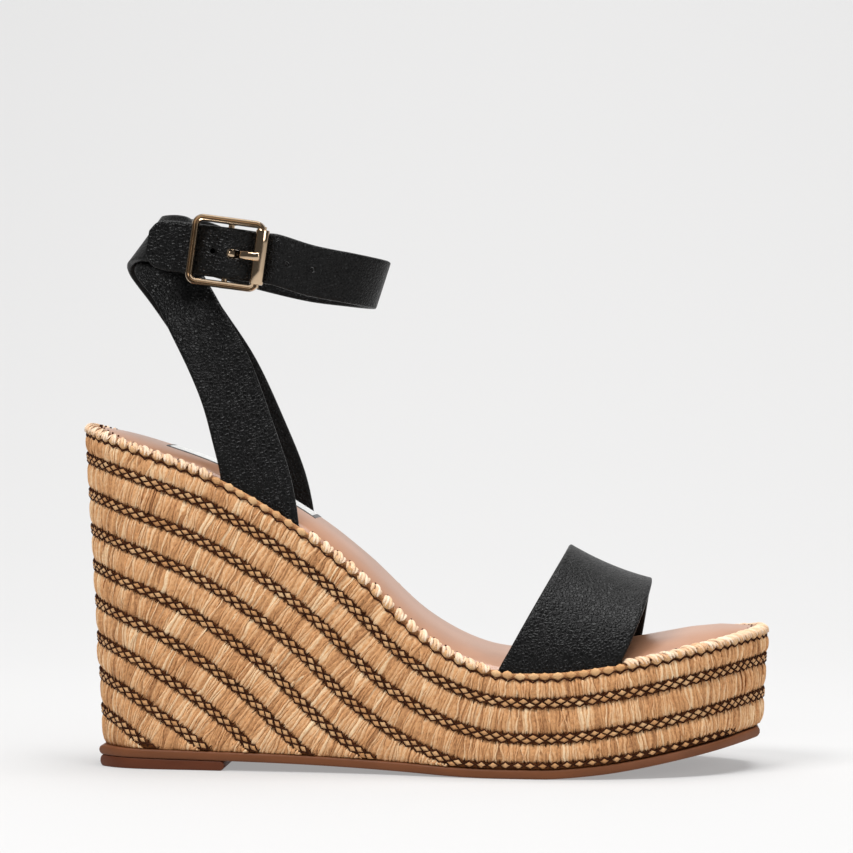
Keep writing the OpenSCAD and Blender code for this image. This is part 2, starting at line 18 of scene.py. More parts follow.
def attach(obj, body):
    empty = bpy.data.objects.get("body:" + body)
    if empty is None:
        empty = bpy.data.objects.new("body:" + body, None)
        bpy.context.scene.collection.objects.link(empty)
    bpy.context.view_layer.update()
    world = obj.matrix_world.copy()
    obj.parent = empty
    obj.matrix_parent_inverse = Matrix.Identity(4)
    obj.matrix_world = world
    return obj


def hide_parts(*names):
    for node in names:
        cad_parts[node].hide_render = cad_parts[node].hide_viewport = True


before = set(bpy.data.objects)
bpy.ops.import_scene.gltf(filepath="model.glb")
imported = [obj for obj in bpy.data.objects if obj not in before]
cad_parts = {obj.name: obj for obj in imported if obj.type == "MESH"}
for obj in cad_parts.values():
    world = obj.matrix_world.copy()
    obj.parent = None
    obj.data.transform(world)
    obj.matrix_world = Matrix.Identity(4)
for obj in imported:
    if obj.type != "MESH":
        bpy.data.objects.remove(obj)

LOG = logging.getLogger("sandal")
MM = 0.001
CENTRE = np.array([0.5, 2.77, 0.0])
BODY_SANDAL = "sandal"
BODY_BUCKLE = "buckle"
BODY_ROLLER = "roller"
BODY_TONGUE = "tongue"
WELD = 2e-6
TINY = 1e-6
KNOT_PITCH = 3.95
SECTION_POINTS = 48
Place = Callable[[np.ndarray, np.ndarray], np.ndarray]


def row_frame(points: np.ndarray) -> np.ndarray:
    """Maker's millimetres to metres in the model's frame."""
    return (np.asarray(points, float) + CENTRE) * MM


def unit(v: np.ndarray) -> np.ndarray:
    """Vectors of length one."""
    return v / np.maximum(np.linalg.norm(v, axis=-1, keepdims=True), 1e-12)


# ---------------------------------------------------------------- curves

class Smooth:
    """A smooth height through given points, straight beyond its ends."""

    def __init__(self, points: Sequence[Sequence[float]]) -> None:
        """Takes the points.

        Args:
            points: Pairs of place and height, in order of place.
        """
        self.x = np.array([p[0] for p in points], float)
        self.z = np.array([p[1] for p in points], float)
        lo = np.maximum(np.arange(len(self.x)) - 1, 0)
        hi = np.minimum(np.arange(len(self.x)) + 1, len(self.x) - 1)
        self.m = (self.z[hi] - self.z[lo]) / (self.x[hi] - self.x[lo])

    def __call__(self, x: np.ndarray) -> np.ndarray:
        """Height at the places x."""
        x = np.asarray(x, float)
        i = np.clip(np.searchsorted(self.x, x, side="right") - 1, 0, len(self.x) - 2)
        h = self.x[i + 1] - self.x[i]
        t = (x - self.x[i]) / h
        m0, m1 = self.m[i] * h, self.m[i + 1] * h
        inside = ((2 * t**3 - 3 * t**2 + 1) * self.z[i] + (t**3 - 2 * t**2 + t) * m0
                  + (3 * t**2 - 2 * t**3) * self.z[i + 1] + (t**3 - t**2) * m1)
        low = self.z[0] + self.m[0] * (x - self.x[0])
        high = self.z[-1] + self.m[-1] * (x - self.x[-1])
        return np.where(x <= self.x[0], low, np.where(x >= self.x[-1], high, inside))

    def slope(self, x: np.ndarray) -> np.ndarray:
        """Slope at the places x."""
        return self(np.asarray(x) + 0.5) - self(np.asarray(x) - 0.5)


def through(points: np.ndarray, t: np.ndarray) -> np.ndarray:
    """Points on the smooth line through given ones.

    Args:
        points: The given points, one to a row, of any shape beyond that.
        t: Places along the line, counted in given points.

    Returns:
        One point for each place.
    """
    n = len(points) - 1
    i = np.clip(np.floor(t).astype(int), 0, n - 1)
    f = (t - i).reshape((-1,) + (1,) * (points.ndim - 1))
    a, b = points[np.maximum(i - 1, 0)], points[i]
    c, d = points[i + 1], points[np.minimum(i + 2, n)]
    return 0.5 * (2 * b + (c - a) * f + (2 * a - 5 * b + 4 * c - d) * f**2
                  + (3 * b - a - 3 * c + d) * f**3)


def heading(points: np.ndarray, t: np.ndarray) -> np.ndarray:
    """Directions of the smooth line through given points, at places t along it."""
    last = len(points) - 1 - TINY
    return unit(through(points, np.clip(t + 0.05, 0, last))
                - through(points, np.clip(t - 0.05, 0, last)))


@dataclass
class Wedge:
    """The wedge's shape: its outline, its edge line and its sole line."""

    plan: tuple = ((112.5, 3), (106, 20), (88, 34), (55, 39.5), (20, 35.5), (-25, 27.5),
                   (-70, 28.5), (-101, 23), (-113.5, 0), (-101, -23), (-70, -29.5), (-20, -34.5),
                   (25, -43.5), (60, -44), (90, -33), (107, -13))
    edge_points: tuple = ((-113, 110.8), (-90, 103.3), (-65, 93.8), (-40, 79.2), (-20, 63.8),
                          (0, 45.2), (20, 34.8), (40, 33), (65, 36), (90, 40.8), (113, 45))
    sole_points: tuple = ((-112, 3.9), (-64, 3.2), (-39, 2.6), (-6, 1.2), (10, 0.3), (22, 0),
                          (40, 0), (57, 1.4), (70, 3.3), (83, 5.7), (96, 8.2), (112, 11.2))
    lean: float = 0.058
    sole_thick: float = 3.0
    first_seam: float = 8.8
    seam_pitch: float = 11.3
    seam_count: int = 8
    seam_width: float = 3.2
    hug_seam: int = 3
    hug_rise: float = 0.75
    hug_end: float = 101.0

    def __post_init__(self) -> None:
        """Works out the outline and its lookups."""
        self.edge = Smooth(self.edge_points)
        self._sole = Smooth(self.sole_points)
        loop = np.array(self.plan, float)
        n, fine = len(loop), 60
        t = np.arange(n * fine + 1) / fine
        padded = np.vstack([loop[-1:], loop, loop[:3]])
        ring = through(padded, t + 1)
        self.ring = ring
        steps = np.linalg.norm(np.diff(ring, axis=0), axis=1)
        self.s = np.concatenate([[0], np.cumsum(steps)])
        self.girth = float(self.s[-1])
        half = n // 2 * fine
        self.inner, self.outer = ring[half::-1], ring[half:]

    def spot(self, s: np.ndarray) -> np.ndarray:
        """Outline points at the girth places s."""
        s = np.mod(s, self.girth)
        return np.stack([np.interp(s, self.s, self.ring[:, i]) for i in (0, 1)], -1)

    def out(self, s: np.ndarray) -> np.ndarray:
        """Outward directions at the girth places s."""
        d = unit(self.spot(np.asarray(s) + 1.0) - self.spot(np.asarray(s) - 1.0))
        return np.stack([d[..., 1], -d[..., 0]], -1)

    def wall(self, s: np.ndarray, inset: np.ndarray, z: np.ndarray) -> np.ndarray:
        """Points on the leaning wall, an inset in from it and at height z."""
        p = self.spot(s)
        q = p - self.out(s) * (inset + self.lean * (self.edge(p[..., 0]) - z))[..., None]
        return np.concatenate([q, np.broadcast_to(z, q.shape[:-1])[..., None]], -1)

    def sole(self, x: np.ndarray) -> np.ndarray:
        """Height of the outsole's underside."""
        return np.maximum(0, self._sole(x))

    def base(self, x: np.ndarray) -> np.ndarray:
        """Height of the outsole's upper side."""
        return self.sole(x) + self.sole_thick

    def seam_z(self, k: int, x: np.ndarray) -> np.ndarray:
        """Height of seam k, a curve at an even distance from the edge line."""
        e = np.arange(-130.0, 130.5, 1.0)
        s = self.edge.slope(e)
        d = self.first_seam + (k - 1) * self.seam_pitch
        n = unit(np.stack([s, -np.ones_like(s)], -1))
        z = np.interp(x, e + n[:, 0] * d, self.edge(e) + n[:, 1] * d)
        return np.maximum(z, self.base(x) + self.hug_rise) if k == self.hug_seam else z

    def upper_z(self, k: int, x: np.ndarray) -> np.ndarray:
        """Top of braid row k."""
        return self.edge(x) - 1.8 if k == 1 else self.seam_z(k - 1, x) - self.seam_width / 2

    def lower_z(self, k: int, x: np.ndarray) -> np.ndarray:
        """Bottom of braid row k."""
        floor = self.base(x)
        if k > self.seam_count:
            return floor
        z = np.maximum(floor, self.seam_z(k, x) + self.seam_width / 2)
        if k == self.hug_seam:
            t = np.clip((x - self.hug_end + 4) / 5, 0, 1)
            z = z + (floor - z) * t
        return z

    def side_y(self, x: np.ndarray, side: int) -> np.ndarray:
        """The outline's sideways place at x, on the inner (1) or outer (-1) side."""
        line = self.inner if side > 0 else self.outer
        return np.interp(x, line[:, 0], line[:, 1])


WEDGE = Wedge()


# ---------------------------------------------------------------- meshes

def new_object(name: str, bm: bmesh.types.BMesh, smooth: bool = True) -> bpy.types.Object:
    """Makes a scene object from a finished bmesh, which is freed.

    Args:
        name: The piece's name.
        bm: The finished mesh, in metres.
        smooth: Whether its faces are shaded smooth.

    Returns:
        The new object.
    """
    mesh = bpy.data.meshes.new(name)
    bm.to_mesh(mesh)
    bm.free()
    mesh.polygons.foreach_set("use_smooth", [smooth] * len(mesh.polygons))
    mesh.update()
    piece = bpy.data.objects.new(name, mesh)
    bpy.context.scene.collection.objects.link(piece)
    return piece


def bent_grid(along: int, around: int, place: Place, wrap: tuple = (False, True),
              grain: Optional[Place] = None, tone: Optional[Place] = None,
              cap: bool = True) -> bmesh.types.BMesh:
    """Bends a flat grid into a surface and closes it.

    Args:
        along: Grid steps in the first direction.
        around: Grid steps in the second direction.
        place: Gives the surface points, in maker's millimetres, for steps in both directions.
        wrap: Whether the surface meets itself in each direction.
        grain: Gives the pattern coordinates, or None for lengths in step counts.
        tone: Gives a shade from 0 to 1 for each point, or None for 0.5.
        cap: Whether open ends are filled.

    Returns:
        The closed surface, in metres, with outward faces.
    """
    bm = bmesh.new()
    bmesh.ops.create_grid(bm, x_segments=along, y_segments=around, size=0.5)
    flat = bpy.data.meshes.new("flat")
    bm.to_mesh(flat)
    co = np.empty(len(flat.vertices) * 3, np.float32)
    flat.vertices.foreach_get("co", co)
    co = co.reshape(-1, 3)
    low, high = co.min(0), co.max(0)
    i = np.rint((co[:, 0] - low[0]) / (high[0] - low[0]) * along).astype(int)
    j = np.rint((co[:, 1] - low[1]) / (high[1] - low[1]) * around).astype(int)
    points = row_frame(place(i, j)).astype(np.float32)
    flat.vertices.foreach_set("co", points.ravel())
    corner = np.empty(len(flat.loops), np.int32)
    flat.loops.foreach_get("vertex_index", corner)
    uv = np.stack([i, j], -1).astype(np.float32) if grain is None else grain(i, j)
    layer = flat.uv_layers.new(name="grain")
    layer.data.foreach_set("uv", np.ascontiguousarray(uv[corner], np.float32).ravel())
    shade = np.full(len(i), 0.5, np.float32) if tone is None else tone(i, j)
    flat.attributes.new("tone", "FLOAT", "POINT").data.foreach_set(
        "value", np.ascontiguousarray(shade, np.float32))
    bm.clear()
    bm.from_mesh(flat)
    bpy.data.meshes.remove(flat)
    if any(wrap):
        bmesh.ops.remove_doubles(bm, verts=bm.verts, dist=WELD)
        bmesh.ops.dissolve_degenerate(bm, edges=bm.edges, dist=WELD)
    if cap:
        open_edges = [e for e in bm.edges if e.is_boundary]
        if open_edges:
            bmesh.ops.holes_fill(bm, edges=open_edges, sides=0)
    bmesh.ops.recalc_face_normals(bm, faces=bm.faces)
    return bm


def frame_matrix(p: np.ndarray, x: np.ndarray, y: np.ndarray, z: np.ndarray,
                 size: Sequence[float] = (1, 1, 1)) -> Matrix:
    """A placing matrix in metres.

    Args:
        p: The place, in maker's millimetres.
        x: Where the shape's X goes.
        y: Where its Y goes.
        z: Where its Z goes.
        size: Millimetres for each unit of the shape along X, Y and Z.

    Returns:
        The matrix.
    """
    m = Matrix.Identity(4)
    for c, (axis, k) in enumerate(zip((x, y, z), size)):
        for r in range(3):
            m[r][c] = float(axis[r]) * k * MM
    q = row_frame(p)
    for r in range(3):
        m[r][3] = float(q[r])
    return m


def stamp(bm: bmesh.types.BMesh, shape: bpy.types.Mesh, places: Sequence[Matrix],
          tones: Sequence[float]) -> None:
    """Copies a small shape into a mesh, once for each place.

    Args:
        bm: The mesh that receives the copies.
        shape: The small shape, with a tone attribute.
        places: A matrix for each copy.
        tones: A shade from 0 to 1 for each copy.
    """
    values = shape.attributes["tone"].data
    for place, shade in zip(places, tones):
        shape.transform(place)
        values.foreach_set("value", [shade] * len(values))
        bm.from_mesh(shape)
        shape.transform(place.inverted())


def as_shape(bm: bmesh.types.BMesh) -> bpy.types.Mesh:
    """A small shape for stamp(), from a finished bmesh, which is freed."""
    bmesh.ops.recalc_face_normals(bm, faces=bm.faces)
    mesh = bpy.data.meshes.new("shape")
    bm.to_mesh(mesh)
    bm.free()
    if "tone" not in mesh.attributes:
        mesh.attributes.new("tone", "FLOAT", "POINT")
    if not mesh.uv_layers:
        mesh.uv_layers.new(name="grain")
    return mesh


def bead_shape(diamond: float) -> bpy.types.Mesh:
    """A small bead, from round (0) to a diamond (1) seen from +Z."""
    bm = bmesh.new()
    bmesh.ops.create_uvsphere(bm, u_segments=8, v_segments=6, radius=1.0)
    for v in bm.verts:
        r = math.hypot(v.co.x, v.co.y)
        if r > 1e-6:
            k = ((abs(v.co.x) + abs(v.co.y)) / r) ** -diamond
            v.co.x *= k
            v.co.y *= k
    return as_shape(bm)


def strand_shape(path: Sequence[Sequence[float]], wide: float, thick: float) -> bpy.types.Mesh:
    """A short flattened strand along a path, for stamp()."""
    points = np.array(path, float)
    steps, sides = 9, 6

    def place(i: np.ndarray, j: np.ndarray) -> np.ndarray:
        """Surface points of the strand."""
        t = i / steps * (len(points) - 1)
        p = through(points, np.minimum(t, len(points) - 1 - TINY))
        along = heading(points, t)
        side = unit(np.cross(along, [0, 0.55, 0.83]))
        up = np.cross(side, along)
        a = j / sides * 2 * math.pi
        taper = np.clip(np.minimum(i, steps - i) / 1.5, 0.35, 1)
        return (p + side * (wide * taper * np.cos(a))[:, None]
                + up * (thick * taper * np.sin(a))[:, None])

    bm = bent_grid(steps, sides, place)
    bmesh.ops.scale(bm, vec=(1 / MM,) * 3, verts=bm.verts)
    bmesh.ops.translate(bm, vec=-Vector(CENTRE), verts=bm.verts)
    return as_shape(bm)


def tube(path: np.ndarray, radius: float, sides: int, closed: bool) -> bmesh.types.BMesh:
    """A round thread or wire along a path.

    Args:
        path: Points of the path, in maker's millimetres.
        radius: Its radius.
        sides: Faces round it.
        closed: Whether the path's last point is followed by its first.

    Returns:
        The closed surface.
    """
    n = len(path)
    nxt, prv = np.roll(path, -1, 0), np.roll(path, 1, 0)
    if not closed:
        nxt[-1], prv[0] = path[-1], path[0]
    along = unit(nxt - prv)
    side = unit(np.cross(along, [0.0, 0.0, 1.0]) + 1e-9)
    up = np.cross(side, along)

    def place(i: np.ndarray, j: np.ndarray) -> np.ndarray:
        """Surface points of the tube."""
        k = i % n
        a = j / sides * 2 * math.pi
        return path[k] + radius * (side[k] * np.cos(a)[:, None] + up[k] * np.sin(a)[:, None])

    return bent_grid(n if closed else n - 1, sides, place, wrap=(closed, True))


def join(bms: Sequence[bmesh.types.BMesh]) -> bmesh.types.BMesh:
    """One bmesh holding all the given ones, which are freed."""
    whole = bmesh.new()
    for bm in bms:
        part = bpy.data.meshes.new("part")
        bm.to_mesh(part)
        bm.free()
        whole.from_mesh(part)
        bpy.data.meshes.remove(part)
    return whole


def turned(profile: Sequence[Sequence[float]], steps: int) -> bmesh.types.BMesh:
    """A ring turned round Z, in metres, from a closed outline of radii and heights."""
    bm = bmesh.new()
    verts = [bm.verts.new((r * MM, 0, h * MM)) for r, h in profile]
    edges = [bm.edges.new(ends) for ends in zip(verts, verts[1:] + verts[:1])]
    bmesh.ops.spin(bm, geom=verts + edges, cent=(0, 0, 0), axis=(0, 0, 1),
                   angle=2 * math.pi, steps=steps, use_merge=True, use_duplicate=False)
    bmesh.ops.remove_doubles(bm, verts=bm.verts, dist=WELD)
    return bm


def drill(place: Matrix) -> bmesh.types.BMesh:
    """A cutter for a round hole, placed from a unit cylinder along Z."""
    bm = bmesh.new()
    bmesh.ops.create_cone(bm, segments=24, radius1=1, radius2=1, depth=1, cap_ends=True)
    bmesh.ops.transform(bm, matrix=place, verts=bm.verts)
    return bm


def cut(piece: bpy.types.Object, cutters: bmesh.types.BMesh) -> None:
    """Cuts the given solids out of a piece, for good."""
    tool = new_object("cutter", cutters, smooth=False)
    mod = piece.modifiers.new("cut", "BOOLEAN")
    mod.object = tool
    mod.operation = "DIFFERENCE"
    mod.solver = "EXACT"
    graph = bpy.context.evaluated_depsgraph_get()
    made = bpy.data.meshes.new_from_object(piece.evaluated_get(graph), depsgraph=graph)
    piece.modifiers.clear()
    old = piece.data
    made.name = old.name
    piece.data = made
    bpy.data.meshes.remove(old)
    bpy.data.objects.remove(tool)


def runs(mask: np.ndarray) -> list:
    """First and last index of each stretch where mask holds."""
    edges = np.flatnonzero(np.diff(np.concatenate([[0], mask.astype(int), [0]])))
    return [(a, b - 1) for a, b in zip(edges[::2], edges[1::2])]


# ---------------------------------------------------------------- finishes

class Bench:
    """A material's node tree, with short ways to add to it."""

    def __init__(self, name: str) -> None:
        """Starts a material with only its shader and output."""
        self.material = bpy.data.materials.new(name)
        self.material.use_nodes = True
        self.tree = self.material.node_tree
        self.shader = self.tree.nodes["Principled BSDF"]

    def add(self, kind: str, links: Optional[dict] = None, **values: object) -> bpy.types.Node:
        """Adds a node.

        Args:
            kind: The node's type, without its ShaderNode prefix.
            links: Sockets that feed its inputs, by input name or number.
            values: Its own properties.

        Returns:
            The node.
        """
        node = self.tree.nodes.new("ShaderNode" + kind)
        for key, value in values.items():
            setattr(node, key, value)
        for key, source in (links or {}).items():
            if isinstance(source, bpy.types.NodeSocket):
                self.tree.links.new(source, node.inputs[key])
            else:
                node.inputs[key].default_value = source
        return node

    def set(self, **values: object) -> None:
        """Sets the shader's own sockets, with _ for a space in each name."""
        for key, value in values.items():
            self.shader.inputs[key.replace("_", " ")].default_value = value

    def feed(self, name: str, source: bpy.types.NodeSocket) -> None:
        """Links a socket into the shader."""
        self.tree.links.new(source, self.shader.inputs[name])

    def grain(self, scale: Sequence[float]) -> bpy.types.NodeSocket:
        """The piece's own pattern coordinates, scaled."""
        uv = self.add("UVMap", uv_map="grain")
        return self.add("Mapping", {"Vector": uv.outputs[0], "Scale": tuple(scale)}).outputs[0]

    def spots(self, scale: Sequence[float]) -> bpy.types.NodeSocket:
        """Object coordinates, scaled."""
        at = self.add("TexCoord")
        return self.add("Mapping", {"Vector": at.outputs["Object"],
                                    "Scale": tuple(scale)}).outputs[0]

    def noise(self, where: bpy.types.NodeSocket, scale: float, detail: float = 3.0,
              rough: float = 0.55) -> bpy.types.NodeSocket:
        """Soft noise, from 0 to 1."""
        return self.add("TexNoise", {"Vector": where, "Scale": scale, "Detail": detail,
                                     "Roughness": rough}).outputs[0]

    def ramp(self, source: bpy.types.NodeSocket, stops: Sequence) -> bpy.types.NodeSocket:
        """Colours at places from 0 to 1."""
        node = self.add("ValToRGB", {0: source})
        band = node.color_ramp
        band.elements[0].position, band.elements[0].color = stops[0][0], (*stops[0][1], 1)
        band.elements[1].position, band.elements[1].color = stops[-1][0], (*stops[-1][1], 1)
        for at, colour in stops[1:-1]:
            band.elements.new(at).color = (*colour, 1)
        return node.outputs[0]

    def maths(self, how: str, a: object, b: object = 0.5) -> bpy.types.NodeSocket:
        """A sum, product or other simple operation."""
        return self.add("Math", {0: a, 1: b}, operation=how).outputs[0]

    def bump(self, height: bpy.types.NodeSocket, strength: float, depth: float) -> None:
        """Feeds a height into the shader's normal, depth in millimetres."""
        node = self.add("Bump", {"Height": height, "Strength": strength, "Distance": depth * MM})
        self.feed("Normal", node.outputs[0])


def srgb(r: float, g: float, b: float) -> tuple:
    """Linear colour from 0-255 screen values."""
    return tuple((c / 255 / 12.92) if c <= 10 else ((c / 255 + 0.055) / 1.055) ** 2.4
                 for c in (r, g, b))


@dataclass(frozen=True)
class Straw:
    """Dry raffia: a shade for each strand, fibres along it and darker gaps, whose darkness is
    painted shade carried in the tone attribute.
    """

    name: str
    dark: tuple
    middle: tuple
    light: tuple
    fibre: tuple = (3.6, 0.8, 1.0)
    rough: float = 0.62

    def make(self) -> bpy.types.Material:
        """Builds the material."""
        b = Bench(self.name)
        tone = b.add("Attribute", attribute_name="tone").outputs["Fac"]
        at = b.grain(self.fibre)
        fibres = b.noise(at, 1.0, 4.0, 0.65)
        patches = b.noise(b.spots((1, 1, 1)), 90.0, 2.0)
        shade = b.maths("ADD", b.maths("MULTIPLY", tone, 0.44),
                        b.maths("MULTIPLY", fibres, 0.68))
        shade = b.maths("ADD", shade, b.maths("MULTIPLY", b.maths("SUBTRACT", patches, 0.5), 0.35))
        colour = b.ramp(shade, [(0.18, self.dark), (0.52, self.middle), (0.92, self.light)])
        b.feed("Base Color", colour)
        b.set(Roughness=self.rough, Specular_IOR_Level=0.3)
        b.bump(fibres, 0.9, 0.35)
        return b.material


@dataclass(frozen=True)
class Thread:
    """Coarse sewing thread; also used for the painted-shade strip under the seams."""

    name: str
    colour: tuple

    def make(self) -> bpy.types.Material:
        """Builds the material."""
        b = Bench(self.name)
        twist = b.noise(b.spots((1, 1, 1)), 900.0, 2.0)
        dark = tuple(c * 0.55 for c in self.colour)
        light = tuple(min(1.0, c * 1.7) for c in self.colour)
        b.feed("Base Color", b.ramp(twist, [(0.3, dark), (0.5, self.colour), (0.75, light)]))
        b.set(Roughness=0.8, Specular_IOR_Level=0.1)
        b.bump(twist, 0.6, 0.15)
        return b.material


@dataclass(frozen=True)
class PebbledLeather:
    """Black leather with a pebbled grain and small creases."""

    name: str
    colour: tuple
    pebble: float = 900.0
    rough: float = 0.31
    depth: float = 0.2

    def make(self) -> bpy.types.Material:
        """Builds the material."""
        b = Bench(self.name)
        at = b.spots((1, 1, 1))
        warp = b.noise(at, 260.0, 3.0)
        shifted = b.add("VectorMath", {0: at, 1: b.add(
            "VectorMath", {0: b.add("TexNoise", {"Vector": at, "Scale": 300.0}).outputs[1],
                           "Scale": 0.0011}, operation="SCALE").outputs[0]}).outputs[0]
        cells = b.add("TexVoronoi", {"Vector": shifted, "Scale": self.pebble, "Randomness": 1.0},
                      feature="DISTANCE_TO_EDGE").outputs[0]
        pebbles = b.add("MapRange", {0: cells, 1: 0.0, 2: 0.32, 3: 0.0, 4: 1.0},
                        interpolation_type="SMOOTHSTEP").outputs[0]
        fine = b.noise(at, 2600.0, 2.0)
        height = b.maths("ADD", b.maths("MULTIPLY", pebbles, 0.75),
                         b.maths("ADD", b.maths("MULTIPLY", warp, 0.6),
                                 b.maths("MULTIPLY", fine, 0.12)))
        dark = tuple(c * 0.7 for c in self.colour)
        b.feed("Base Color", b.ramp(pebbles, [(0.0, dark), (1.0, self.colour)]))
        b.feed("Roughness", b.maths("SUBTRACT", self.rough + 0.12,
                                    b.maths("MULTIPLY", pebbles, 0.12)))
        b.set(Specular_IOR_Level=0.17)
        b.bump(height, 1.0, self.depth)
        return b.material


@dataclass(frozen=True)
class SmoothLeather:
    """Smooth soft leather with fine pores and slow changes of shade."""

    name: str
    colour: tuple
    rough: float = 0.42
    sheen: float = 0.15
    pore: float = 0.05
    coat: float = 0.0

    def make(self) -> bpy.types.Material:
        """Builds the material."""
        b = Bench(self.name)
        at = b.spots((1, 1, 1))
        slow = b.noise(at, 38.0, 3.0)
        fine = b.noise(at, 1900.0, 3.0)
        low = tuple(c * 0.86 for c in self.colour)
        high = tuple(min(1.0, c * 1.1) for c in self.colour)
        b.feed("Base Color", b.ramp(slow, [(0.32, low), (0.5, self.colour), (0.7, high)]))
        b.feed("Roughness", b.maths("ADD", self.rough - 0.06, b.maths("MULTIPLY", fine, 0.12)))
        b.set(Specular_IOR_Level=0.5, Sheen_Weight=self.sheen, Coat_Weight=self.coat,
              Coat_Roughness=0.3)
        b.bump(b.maths("ADD", b.maths("MULTIPLY", slow, 0.6), b.maths("MULTIPLY", fine, 0.4)),
               0.5, self.pore)
        return b.material


@dataclass(frozen=True)
class GoldPlate:
    """Polished pale gold plating with faint wear."""

    name: str
    colour: tuple
    rough: float = 0.16

    def make(self) -> bpy.types.Material:
        """Builds the material."""
        b = Bench(self.name)
        at = b.spots((1, 1, 1))
        wear = b.noise(at, 420.0, 4.0)
        b.feed("Base Color", b.ramp(wear, [(0.3, tuple(c * 0.94 for c in self.colour)),
                                           (0.7, self.colour)]))
        b.feed("Roughness", b.maths("ADD", self.rough - 0.05, b.maths("MULTIPLY", wear, 0.12)))
        b.set(Metallic=1.0)
        b.bump(b.noise(at, 700.0, 2.0), 0.06, 0.012)
        return b.material


@dataclass(frozen=True)
class Moulded:
    """Rubber, cork, board, foam or bare metal: one colour broken by two sizes of grain."""

    name: str
    colour: tuple
    rough: float
    grain: float
    contrast: float = 0.2
    metallic: float = 0.0
    stretch: tuple = (1.0, 1.0, 1.0)
    depth: float = 0.12

    def make(self) -> bpy.types.Material:
        """Builds the material."""
        b = Bench(self.name)
        at = b.spots(self.stretch)
        coarse = b.noise(at, self.grain, 4.0)
        fine = b.noise(at, self.grain * 6, 2.0)
        low = tuple(c * (1 - self.contrast) for c in self.colour)
        high = tuple(min(1.0, c * (1 + self.contrast)) for c in self.colour)
        b.feed("Base Color", b.ramp(coarse, [(0.3, low), (0.5, self.colour), (0.7, high)]))
        b.feed("Roughness", b.maths("ADD", self.rough - 0.08, b.maths("MULTIPLY", fine, 0.16)))
        b.set(Metallic=self.metallic, Specular_IOR_Level=0.2)
        b.bump(b.maths("ADD", coarse, b.maths("MULTIPLY", fine, 0.5)), 0.5, self.depth)
        return b.material


@dataclass(frozen=True)
class WovenTape:
    """Fine woven tape."""

    name: str
    colour: tuple
    thread: float = 2600.0

    def make(self) -> bpy.types.Material:
        """Builds the material."""
        b = Bench(self.name)
        at = b.spots((1, 1, 1))
        warp = b.add("TexWave", {"Vector": at, "Scale": self.thread / 6.28, "Distortion": 0.4},
                     bands_direction="X").outputs[1]
        weft = b.add("TexWave", {"Vector": at, "Scale": self.thread / 6.28, "Distortion": 0.4},
                     bands_direction="Y").outputs[1]
        weave = b.maths("MULTIPLY", warp, weft)
        b.feed("Base Color", b.ramp(weave, [(0.0, tuple(c * 0.8 for c in self.colour)),
                                            (0.6, self.colour)]))
        b.set(Roughness=0.6, Sheen_Weight=0.3)
        b.bump(weave, 0.5, 0.06)
        return b.material


class Finish(Enum):
    """The sandal's finishes."""

    BRAID = Straw("braid_straw", srgb(116, 66, 30), srgb(216, 160, 108), srgb(254, 230, 190))
    KNOT = Straw("knot_straw", srgb(150, 96, 50), srgb(200, 146, 94), srgb(232, 194, 146),
                 (3.0, 3.0, 1.0), 0.5)
    EDGE = Straw("edge_straw", srgb(190, 132, 88), srgb(232, 192, 152), srgb(252, 234, 212),
                 (3.0, 3.0, 1.0), 0.45)
    # Painted shade: the seam bed's dark brown stands in for the shadow under each seam's threads
    # and knots.
    SHADE_BED = Thread("seam_shade_bed", srgb(104, 62, 32))
    SEAM = Thread("seam_thread", srgb(56, 27, 12))
    STRAP = PebbledLeather("strap_leather", srgb(6, 6, 6))
    PAINT = SmoothLeather("edge_paint", srgb(186, 182, 182), 0.4, 0.0, 0.02)
    BACKING = SmoothLeather("strap_backing", srgb(30, 28, 28), 0.62, 0.0, 0.05)
    SOCK = SmoothLeather("sock_leather", srgb(162, 117, 89), 0.34, 0.0, 0.05, 0.1)
    GOLD = GoldPlate("gold_plate", (0.62, 0.46, 0.31), 0.1)
    SOLE = Moulded("outsole_compound", srgb(110, 66, 40), 0.5, 220.0, 0.12, 0.0, (0.15, 1.0, 1.0))
    LIFT = Moulded("lift_compound", srgb(92, 48, 28), 0.5, 220.0, 0.12, 0.0, (0.15, 1.0, 1.0))
    CORK = Moulded("core_cork", srgb(176, 128, 84), 0.85, 420.0, 0.45, depth=0.4)
    BOARD = Moulded("fibre_board", srgb(158, 122, 90), 0.85, 900.0, 0.2)
    STEEL = Moulded("bright_steel", srgb(180, 182, 186), 0.35, 300.0, 0.1, 1.0, (0.1, 1.0, 1.0))
    RIVET = Moulded("rivet_brass", srgb(206, 170, 104), 0.3, 500.0, 0.1, 1.0)
    TAPE = WovenTape("label_tape", srgb(236, 236, 234))
    BORDER = WovenTape("label_border", srgb(34, 32, 34))

    def material(self) -> bpy.types.Material:
        """The material, made the first time it is asked for."""
        have = bpy.data.materials.get(self.value.name)
        return have or self.value.make()


def dress(piece: bpy.types.Object, finishes: Sequence[Finish], body: str = BODY_SANDAL,
          stands_for: Sequence[str] = ()) -> bpy.types.Object:
    """Gives a piece its materials, its body and the nodes it stands for.

    Args:
        piece: The piece.
        finishes: One finish for each material index.
        body: The body that it rides on.
        stands_for: CAD nodes that it replaces.

    Returns:
        The piece.
    """
    piece.data.materials.clear()
    for finish in finishes:
        piece.data.materials.append(finish.material())
    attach(piece, body)
    if stands_for:
        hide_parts(*stands_for)
    LOG.info("%s: %d faces on %s", piece.name, len(piece.data.polygons), body)
    return piece


# ---------------------------------------------------------------- raffia wrap

